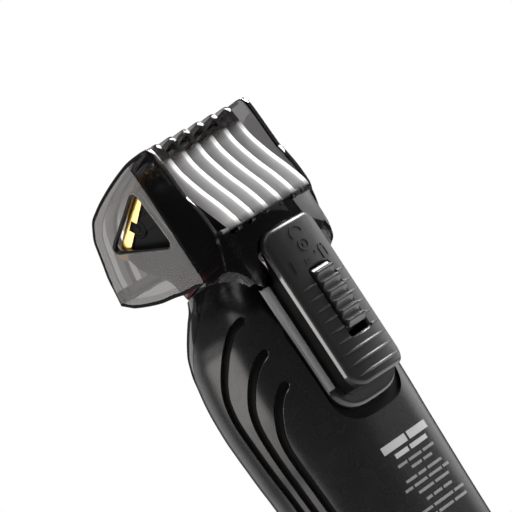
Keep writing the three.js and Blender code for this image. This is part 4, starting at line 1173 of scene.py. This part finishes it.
def make_comb():
    comb = side_wall(-1)
    unite(comb, side_wall(1))
    for i in range(8):
        unite(comb, fin((i - 3.5) * 5.2))
    unite(comb, back_panel())
    front_bar = rounded_poly([[-14.4, 145.5], [-12.5, 145.9], [-12.1, 148.2],
                              [-13.9, 148.6]], 0.35, 4)
    unite(comb, round_prism(front_bar, "x", -COMB_HALF + 0.2, COMB_HALF - 0.2, 0.2),
          comb_tongue(),
          box(-12, 12, 13.9, 17.8, 141.4, 146.3, 0.2),
          box(-12, 12, 13.9, 15.6, 139, 142),
          # stem and foot through the slot of the back shell
          box(-1.9, 1.9, 11.6, 14.2, 103.2, 112.2, 0.15),
          box(-4, 4, 10.4, 11.6, 103.2, 112.2, 0.15))
    room = rounded_rect(-PLATE_HALF - PLATE_GAP, PLATE_HALF + PLATE_GAP,
                        PLATE_BOTTOM - PLATE_GAP, PLATE_TOP + PLATE_GAP, 3.6, 12)
    subtract(comb, prism(room, "y", 15.6, 40))

    # the rear part of each side wall leans in a little from a crease
    crease_at_y(comb, LEAN_Y)
    with editing(comb.data) as edit:
        for vertex in edit.verts:
            x, y = vertex.co.x / MM, vertex.co.y / MM
            if y > LEAN_Y and abs(x) > 14.5:
                t = min(1.0, (abs(x) - 14.5) / 2.9)
                lean = 0.07 * (y - LEAN_Y) * t * t * (3 - 2 * t)
                vertex.co.x -= math.copysign(lean, x) * MM
    finish(comb, "comb_body", "comb", "smoke_clear", "comb_guide", sharp=30,
           extra=["window_shade_black", "tongue_black", "highlight_grey", "highlight_gloss", "painted_shade_black"])
    paint_comb(comb)


def paint_comb(comb):
    centre, facing = face_geometry(comb)
    x, y, z = np.abs(centre[:, 0]), centre[:, 1], centre[:, 2]
    to_back = facing[:, 1]
    turned = np.hypot(to_back, facing[:, 2])
    at_window = (outline_gap(WINDOW, centre[:, 1:]) < 0.75) & (turned > 0.12)
    wall_outline_shade = ((x > 18.6) & (y < 13.4) & (outline_gap(WALL_OUTLINE, centre[:, 1:]) < 0.76)
                & ((z > 150) | (z < 145)) & (z > 139.6))
    tongue = (x < 12.3) & (y > 13.8) & (y < 15.75) & (z < 138.9)
    tongue_edge_highlight = ((x > 10.25) & (x < 11.7) & (y > 14.95) & (y < 15.7)
                   & (z > 106) & (z < 138.9) & (to_back > 0.15))
    # painted shade: the window reveals are opaque near-black where the clear wall would look dark
    paint(comb, 1, at_window & (x > 17) & (to_back > -0.3 * turned))
    # painted shade: a near-black band round the outline of each side wall
    paint(comb, 5, wall_outline_shade)
    # painted highlight: lighter, glossier faces in the near wall's window reveal that face the front
    paint(comb, 4, at_window & (x > 18.3) & (to_back < -0.5 * turned))
    paint(comb, 2, tongue)
    # painted highlight: the tongue's rounded rim is a lighter, glossy grey
    paint(comb, 3, tongue_edge_highlight)


# ------------------------------------------------------------------ thumb plate
# ridge section: across (fraction of the width), rise (fraction of the height)
PLATE_RIDGE = [(-1, 0), (-0.72, 0.55), (-0.35, 0.9), (0, 1), (0.35, 0.9), (0.72, 0.55), (1, 0)]
KNOB_RIDGE = [(-0.85, 0), (-0.5, 0.5), (-0.2, 0.82), (0, 0.9), (0.2, 0.82), (0.5, 0.5),
              (0.85, 0)]


def crown(x):
    """y of the crowned thumb plate"""
    x = np.abs(np.asarray(x, float))
    return 21.9 - 0.0182 * x ** 2 - 0.0000295 * x ** 4


def ridge_ring(x, base, foot, z, width, height, section):
    """section of a ridge across x that stands on y = base and is sunk to y = foot"""
    ring = [[x, base + height * rise, z + width * across] for across, rise in section]
    return [[x, foot, ring[0][2]], *ring, [x, foot, ring[-1][2]]]


def plate_ridge(x0, x1, z, fade_low=True, fade_high=True):
    """low lens-shaped ridge across the plate, faded at the chosen ends"""
    size, sink = 0.36, 0.3
    rings = []
    for i in range(33):
        k = i / 32
        x = x0 + (x1 - x0) * k
        fade = 1.0
        if fade_low:
            fade = min(fade, math.sqrt(min(1, (k + 0.004) * (x1 - x0) / 4.0)))
        if fade_high:
            fade = min(fade, math.sqrt(min(1, (1 - k + 0.004) * (x1 - x0) / 4.0)))
        base = float(crown(x))
        rings.append(ridge_ring(x, base, base - sink, z, size * fade, size * fade,
                                PLATE_RIDGE))
    return loft(rings)


def emboss(points):
    """raised mark that follows the crown of the plate"""
    points = clean(points, 0.01)
    y = crown(points[:, 0])
    return extrude(lift(points, "y", y - 0.3), lift(points, "y", y + 0.16))


def stroke(path, width):
    """outline of a line of even width"""
    path = np.array(path, float)
    along = np.gradient(path, axis=0)
    along /= np.linalg.norm(along, axis=1, keepdims=True)
    across = np.column_stack([-along[:, 1], along[:, 0]]) * width / 2
    return np.vstack([path + across, (path - across)[::-1]])


def arc(x, z, radius, start, end, count, radius_z=None):
    """elliptic arc between two angles in degrees"""
    radius_z = radius_z or radius
    return [[x + radius * math.cos(a), z + radius_z * math.sin(a)]
            for a in np.radians(np.linspace(start, end, count))]


def plate_marks():
    """outlines (x, z) of the embossed marks"""
    return [
        # open padlock: round body in two halves, key dot, raised shackle
        stroke(arc(0.6, 135.2, 1.45, 0, 180.5, 20, 1.247), 0.4),
        stroke(arc(0.6, 135.2, 1.45, 180, 360.5, 20, 1.247), 0.4),
        arc(0.6, 135.2, 0.42, 0, 350, 16),
        stroke(arc(0.6, 138.1, 1.9, -32, 186, 26, 1.5), 0.34),
        # closed padlock
        stroke([[-5.3, 130.6], [-2.9, 130.6]], 0.3),
        stroke([[-5.3, 132.9], [-2.9, 132.9]], 0.3),
        stroke([[-5.15, 130.6], [-5.15, 132.9]], 0.3),
        stroke([[-3.05, 130.6], [-3.05, 132.9]], 0.3),
        stroke(arc(-4.1, 132.9, 0.75, 0, 180, 16, 0.8), 0.28),
        # one tall bar, two short ones and a dot
        stroke([[6.5, 130.7], [6.5, 133.5]], 0.36),
        stroke([[1.3, 132.1], [3.1, 132.1]], 0.28),
        stroke([[1.3, 131.3], [3.1, 131.3]], 0.28),
        arc(-1.3, 132.7, 0.3, 0, 340, 14),
    ]


def plate_outline(inset):
    return rounded_rect(-max(PLATE_HALF - inset, 0.02), max(PLATE_HALF - inset, 0.02),
                        PLATE_BOTTOM + inset, PLATE_TOP - inset, max(0.0, 3.5 - inset),
                        seg=14, splits=(30, 8))


def make_thumb_plate():
    edge_width, edge_drop = 0.9, 0.8
    loops = [lift(plate_outline(inset), "y", y)
             for inset, y in ((0.12, 15.6), (0.0, 15.75), (0.0, 17.5), (0.0, 18.45))]
    for inset in [0.0, 0.03, 0.08, 0.16, 0.28, 0.43, 0.6, 0.75, 0.9, 1.2, 2.0, 2.6, 3.4,
                  4.4, 5.4, 6.4, 7.4, 8.4, 9.1]:
        points = plate_outline(inset)
        k = max(0.0, 1 - inset / edge_width)
        drop = edge_drop * (1 - math.sqrt(max(0.0, 1 - k ** 2.0)))
        loops.append(lift(points, "y", crown(points[:, 0]) - drop))
    plate = loft(loops)
    slot = rounded_rect(-3.5, 3.5, 113.3, 130.0, 0.8, 8)
    subtract(plate, box(-7.6, 7.6, 15, 19.2, 105.4, 139), prism(slot, "y", 17, 30))
    # soft chamfer round the slot: inset, y
    loops = []
    for inset, y in [(-0.02, 21.0), (-0.02, 21.45), (-0.12, 21.62), (-0.34, 21.85),
                     (-0.8, 22.3)]:
        points = offset_poly(slot, inset)
        loops.append(lift(points, "y", y - 0.018 * points[:, 0] ** 2))
    subtract(plate, loft(loops))
    for i in range(9):
        z = 126.7 - i * 2.65
        if i < 6:
            # either side of the slot
            unite(plate, plate_ridge(4.1, 7.6, z, fade_low=False),
                  plate_ridge(-8.2, -4.1, z, fade_high=False))
        else:
            unite(plate, plate_ridge(-8.2, 7.6, z))
    for mark in plate_marks():
        unite(plate, emboss(mark))
    finish(plate, "thumb_plate_shell", "comb", "matte_black", "thumb_plate",
           extra=["painted_shade_black", "highlight_gloss"], sharp=26)
    centre, facing = face_geometry(plate)
    x, y, z = np.abs(centre[:, 0]), centre[:, 1], centre[:, 2]
    # painted shade: the plate's sides below the top edge are near-black with little gloss
    paint(plate, 1, (y < 18.45) & (x > 7.7))
    # painted highlight: a lighter, glossier band along the top of each side
    paint(plate, 2, (y > 18.45) & (y < 19.3) & (np.abs(facing[:, 0]) > 0.9)
          & (x > 9.2) & (z > 107) & (z < 137.5))


def make_lock_button():
    """button with a saw-tooth grip, drawn from the side (y, z)"""
    teeth = []
    for i in range(6):
        z = 128.0 - i * 2.4
        teeth += [[22.0, z + 1.0], [22.75, z + 0.78], [23.0, z + 0.55], [23.0, z + 0.2],
                  [22.85, z - 0.05], [22.0, z - 0.9]]
    outline = ([[18.0, 129.7], [21.4, 129.7], [21.75, 129.45]] + teeth
               + [[21.6, 115.75], [21.3, 115.5], [18.0, 115.5]])
    button = round_prism(outline, "x", -3.2, 3.2, 0.28)
    unite(button, box(-5.2, 5.2, 17.2, 18.9, 114.6, 131.2, 0.15))
    finish(button, "lock_button_grip", "lock", "matte_black", "lock_button", sharp=28)


def make_lock_spring():
    """round wire coil, built in one fixed shape; on the groomer it closes up as the button slides
    down on it
    """
    turns, radius, wire, length = 6, 1.15, 0.22, 8.1
    y0, z0 = 17.4, 105.95
    sweep = 2 * math.pi * turns
    steps = turns * 28
    rings = []
    for i in range(steps + 1):
        t = i / steps
        angle = sweep * t
        cosine, sine = math.cos(angle), math.sin(angle)
        centre = np.array([radius * cosine, y0 + radius * sine, z0 + length * t])
        along = np.array([-radius * sine * sweep, radius * cosine * sweep, length])
        along /= np.linalg.norm(along)
        outward = np.array([cosine, sine, 0.0])
        upward = np.cross(along, outward)
        rings.append([centre + wire * (outward * math.cos(b) + upward * math.sin(b))
                      for b in np.linspace(0, 2 * math.pi, 11)[:-1]])
    coil = loft(rings)
    finish(coil, "lock_spring_coil", "comb", "steel", "lock_spring", sharp=50)
    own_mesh(coil)


# ------------------------------------------------------------------ small handle pieces
def make_power_switch():
    face_y = -16.6
    knob = prism(rounded_rect(-5.4, 5.4, 91.4, 109.0, 2.4, 10), "y", face_y, -14.85)
    bevel(knob, 0.3, 3, 50)
    for i in range(6):
        z = 94.9 + i * 2.4
        rings = []
        for k in np.linspace(0, 1, 25):
            fade = math.sqrt(max(0.02, 1 - (2 * k - 1) ** 4))
            rings.append(ridge_ring(-4.6 + 9.2 * k, face_y, -16.2, z, fade, -fade,
                                    KNOB_RIDGE))
        unite(knob, loft(rings))
    unite(knob, box(-1.9, 1.9, -14.95, -13.35, 97.0, 103.2, 0.1))
    finish(knob, "power_switch_knob", "switch", "matte_black", "power_switch", sharp=28)


def make_indicator_lens():
    lens = lathe([[0, 0], [1.4, 0], [1.4, 1.9], [1.3, 2.05], [0.9, 2.3], [0.45, 2.43],
                  [0, 2.46]])
    placed(lens, pose(0, -12.6, LED_Z, math.pi / 2))
    finish(lens, "indicator_lens", "handle", "lens_clear", "led_lens")


def make_housing_screws():
    profile = [[0, -4.5], [0.7, -4.5], [0.98, -3.9], [0.98, 8.35], [2.3, 8.35],
               [2.32, 8.8], [2.2, 9.4], [1.9, 9.9], [1.4, 10.1], [0, 10.15]]
    for side, word in ((1, "left"), (-1, "right")):
        screw = lathe(profile)
        # cross recess
        subtract(screw, box(-1.5, 1.5, -0.3, 0.3, 9.5, 10.6),
                 box(-0.3, 0.3, -1.5, 1.5, 9.5, 10.6))
        placed(screw, at_screw(side))
        finish(screw, f"housing_screw_{word}_head", "handle", "steel",
               f"housing_screw_{word}")


# ------------------------------------------------------------------ printing on the back
def skin_patch(x0, x1, z0, z1):
    """thin bar that follows the back of the handle"""
    count = max(2, int((x1 - x0) / 0.5) + 1)
    xs = np.linspace(x0, x1, count)
    verts, faces = [], []
    for rise in (-0.06, 0.02):
        for z in (z0, z1):
            half, _, back = body_at(np.full(count, z))
            ys = back * (1 - (np.abs(xs) / half) ** BODY_POWER) ** (1 / BODY_POWER) + rise
            verts += [[x, y, z] for x, y in zip(xs, ys)]

    def at(row, i):
        return row * count + i

    for i in range(count - 1):
        for low, high in ((2, 3), None), ((0, 1), None):
            pass
        faces += [(at(2, i), at(3, i), at(3, i + 1), at(2, i + 1)),
                  (at(0, i), at(0, i + 1), at(1, i + 1), at(1, i)),
                  (at(0, i), at(2, i), at(2, i + 1), at(0, i + 1)),
                  (at(1, i), at(1, i + 1), at(3, i + 1), at(3, i))]
    last = count - 1
    faces += [(at(0, 0), at(1, 0), at(3, 0), at(2, 0)),
              (at(0, last), at(2, last), at(3, last), at(1, last))]
    return new_object(verts, faces)


def print_line(draw, x0, x1, z, height, words, gap):
    """one line of print as bars of random width"""
    widths = [draw.uniform(0.6, 1.5) for _ in range(words)]
    scale = (x1 - x0 - gap * (words - 1)) / sum(widths)
    bars, x = [], x0
    for width in widths:
        bars.append(skin_patch(x, x + width * scale, z - height / 2, z + height / 2))
        x += width * scale + gap
    return bars


def make_printing():
    draw = random.Random(11)
    heading = print_line(draw, -9.8, 7.9, 89.5, 1.8, 2, 0.8)
    heading += print_line(draw, -7.4, 5.3, 87.2, 1.05, 2, 0.8)
    small = []
    # z, middle, half length, words
    for z, middle, half, words in ((85.1, -0.9, 7.2, 3), (83.5, -1.4, 4.1, 2),
                                   (81.5, -0.4, 7.1, 3), (79.9, -0.4, 8.7, 4),
                                   (78.2, -1.0, 6.1, 2), (76.2, -1.0, 5.1, 3),
                                   (74.3, -0.6, 8.9, 3), (72.6, -0.6, 8.3, 3)):
        small += print_line(draw, middle - half, middle + half, z, 0.62, words, 0.65)
    finish(join(heading), "printed_heading", "handle", "pale_nylon", surface="ink", sharp=30)
    finish(join(small), "printed_bars", "handle", "pale_nylon", surface="ink_fine", sharp=30)


# ------------------------------------------------------------------ pieces kept from the frame
CARRIED = {
    "steel": ["blade_spring", "motor_can", "motor_shaft", "motor_screw_left",
              "motor_screw_right", "detent_spring"],
    "pale_nylon": ["cutter_carrier", "motor_end_cap", "drive_eccentric", "switch_block",
                   "detent_rack"],
    "magnet": ["magnet_left", "magnet_right"],
    "copper": ["armature", "commutator"],
    "chassis_plastic": ["motor_mount", "chassis"],
    "rubber": ["drive_seal"],
    "cell_wrap": ["battery_left", "battery_right"],
    "nickel": ["cell_link", "cell_tab_left", "cell_tab_right"],
    "board_green": ["circuit_board"],
    "lens_clear": ["charge_led"],
    "wire_red": ["lead_red", "lead_jack"],
    "wire_black": ["lead_black"],
}


def dress_carried():
    for material, names in CARRIED.items():
        for name in names:
            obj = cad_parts[name]
            if obj.data.materials:
                for slot in obj.material_slots:
                    slot.material = MATERIALS[material]
            else:
                obj.data.materials.append(MATERIALS[material])
            edge = obj.modifiers.new("edge", "BEVEL")
            edge.width = 0.00012
            edge.segments = 2
            edge.limit_method = "ANGLE"
            edge.angle_limit = math.radians(40)


# ------------------------------------------------------------------ stage, lights, camera
def make_world():
    """white backdrop behind the groomer that falls off to a dark room round the camera"""
    world = bpy.data.worlds.new("studio")
    scene.world = world
    nodes = Nodes(world)
    rays = nodes.add("LightPath", None)
    to_camera = nodes.add("VectorTransform", 0, {0: nodes.add("TexCoord", "Generated")},
                          vector_type="VECTOR", convert_from="WORLD", convert_to="CAMERA")
    depth = nodes.add("SeparateXYZ", "Z", {0: to_camera})

    def fall(*limits):
        return nodes.map_range(depth, *limits, interpolation="SMOOTHSTEP")

    def choose(ray, other, chosen):
        return nodes.add("Mix", "Result", {"Factor": rays[ray], "A": other, "B": chosen},
                         data_type="FLOAT")

    # mirror-like reflections see a dark line along every edge
    level = fall(0.72, 0.97, 0.12, 0.02)
    level = choose("Is Diffuse Ray", level, 0.55)
    level = choose("Is Transmission Ray", level, fall(0.25, 0.85, 0.10, 1.0))
    room = nodes.add("Background", 0, {"Color": (1, 1, 1, 1), "Strength": level})
    white = nodes.add("Background", 0, {"Color": (1, 1, 1, 1)})
    nodes.add("OutputWorld", None,
              {"Surface": nodes.mix_shader(rays["Is Camera Ray"], room, white)})


def make_floor():
    """fine disc that turns into pure white away from the groomer"""
    radius, rings, sectors, z = 900.0, 40, 96, -0.02
    verts, faces = [[0, 0, z]], []
    for i in range(1, rings + 1):
        reach = radius * (i / rings) ** 1.6
        verts += [[reach * math.cos(2 * math.pi * k / sectors),
                   reach * math.sin(2 * math.pi * k / sectors), z] for k in range(sectors)]
    for k in range(sectors):
        after = (k + 1) % sectors
        faces.append((0, 1 + k, 1 + after))
        for i in range(rings - 1):
            here, there = 1 + i * sectors + k, 1 + i * sectors + after
            faces.append((here, here + sectors, there + sectors, there))
    mesh = bpy.data.meshes.new("floor")
    mesh.from_pydata([tuple(np.array(v) * MM) for v in verts], [], faces)
    mesh.update()
    floor = link_mesh(mesh)

    nodes = new_material("floor")
    place = nodes.add("TexCoord", "Object")
    ground = nodes.add("BsdfPrincipled", 0, {
        "Base Color": (0.86, 0.86, 0.86, 1), "Roughness": 0.55,
        "Normal": nodes.relief(nodes.noise(300.0, place), 0.03, 0.0003)})
    glow = nodes.map_range(nodes.add("LightPath", "Is Camera Ray"), to_min=0.12)
    white = nodes.add("Emission", 0, {"Strength": glow})
    away = nodes.map_range(nodes.add("VectorMath", "Value", {0: place}, operation="LENGTH"),
                           from_min=0.10, from_max=0.45, interpolation="SMOOTHERSTEP")
    nodes.add("OutputMaterial", None, {"Surface": nodes.mix_shader(away, ground, white)})
    mesh.materials.append(MATERIALS["floor"])


def aim(eye, target):
    """rotation that looks from eye to target"""
    return (Vector(target) - Vector(eye)).to_track_quat("-Z", "Y")


def area_light(name, location, size, power, color=(1, 1, 1)):
    """rectangular light aimed at the upper handle; metres and watts"""
    light = bpy.data.lights.new(name, "AREA")
    light.shape = "RECTANGLE"
    light.size, light.size_y = size
    light.energy, light.color = power, color
    light.spread = math.radians(180)
    obj = bpy.data.objects.new(name, light)
    collection.objects.link(obj)
    obj.location = location
    obj.rotation_euler = aim(location, (0, 0, 0.115)).to_euler()
    obj.visible_camera = False


def make_lights():
    area_light("key_left", location=(0.72, -0.42, 0.16), size=(0.62, 0.8), power=6.2,
               color=(1.0, 0.965, 0.94))
    area_light("edge_left", location=(0.05, -0.80, 0.2), size=(0.5, 0.8), power=1.4)
    area_light("key_right", location=(-0.66, 0.56, 0.10), size=(0.3, 0.7), power=0.25)
    area_light("edge_right", location=(-0.85, 0.10, 0.12), size=(0.45, 0.7), power=1.6)
    area_light("rim_right", location=(-0.46, 0.18, 0.47), size=(0.34, 0.30), power=8.0)
    area_light("top", location=(0.15, 0.1, 0.85), size=(0.5, 0.5), power=2.0)


def make_camera():
    """long lens from the back and the +x side, rolled so that the handle lies aslant"""
    camera = bpy.data.cameras.new("camera")
    camera.lens = 280.0
    camera.sensor_width = 36.0
    camera.clip_start = 0.01
    camera.clip_end = 20.0
    obj = bpy.data.objects.new("camera", camera)
    collection.objects.link(obj)
    scene.camera = obj
    eye = (0.6468, 0.5517, 0.110)
    roll = Matrix.Rotation(math.radians(-33.2), 4, "Z").to_quaternion()
    obj.location = eye
    obj.rotation_mode = "QUATERNION"
    obj.rotation_quaternion = aim(eye, (-0.0043, 0.0051, 0.139)) @ roll


def set_render():
    scene.view_settings.view_transform = "Standard"
    cycles = scene.cycles
    cycles.max_bounces = 24
    cycles.transmission_bounces = 20
    cycles.transparent_max_bounces = 16
    cycles.glossy_bounces = 6
    cycles.diffuse_bounces = 3
    cycles.caustics_reflective = False
    cycles.caustics_refractive = False
    cycles.sample_clamp_indirect = 4.0


make_shells()
make_base_cap()
make_charging_socket()
make_neck_ring()
make_head()
make_fixed_blade()
make_moving_blade()
make_blade_screws()
make_comb()
make_thumb_plate()
make_lock_button()
make_lock_spring()
make_power_switch()
make_indicator_lens()
make_housing_screws()
make_printing()
dress_carried()
make_world()
make_floor()
make_lights()
make_camera()
set_render()

bpy.context.view_layer.update()
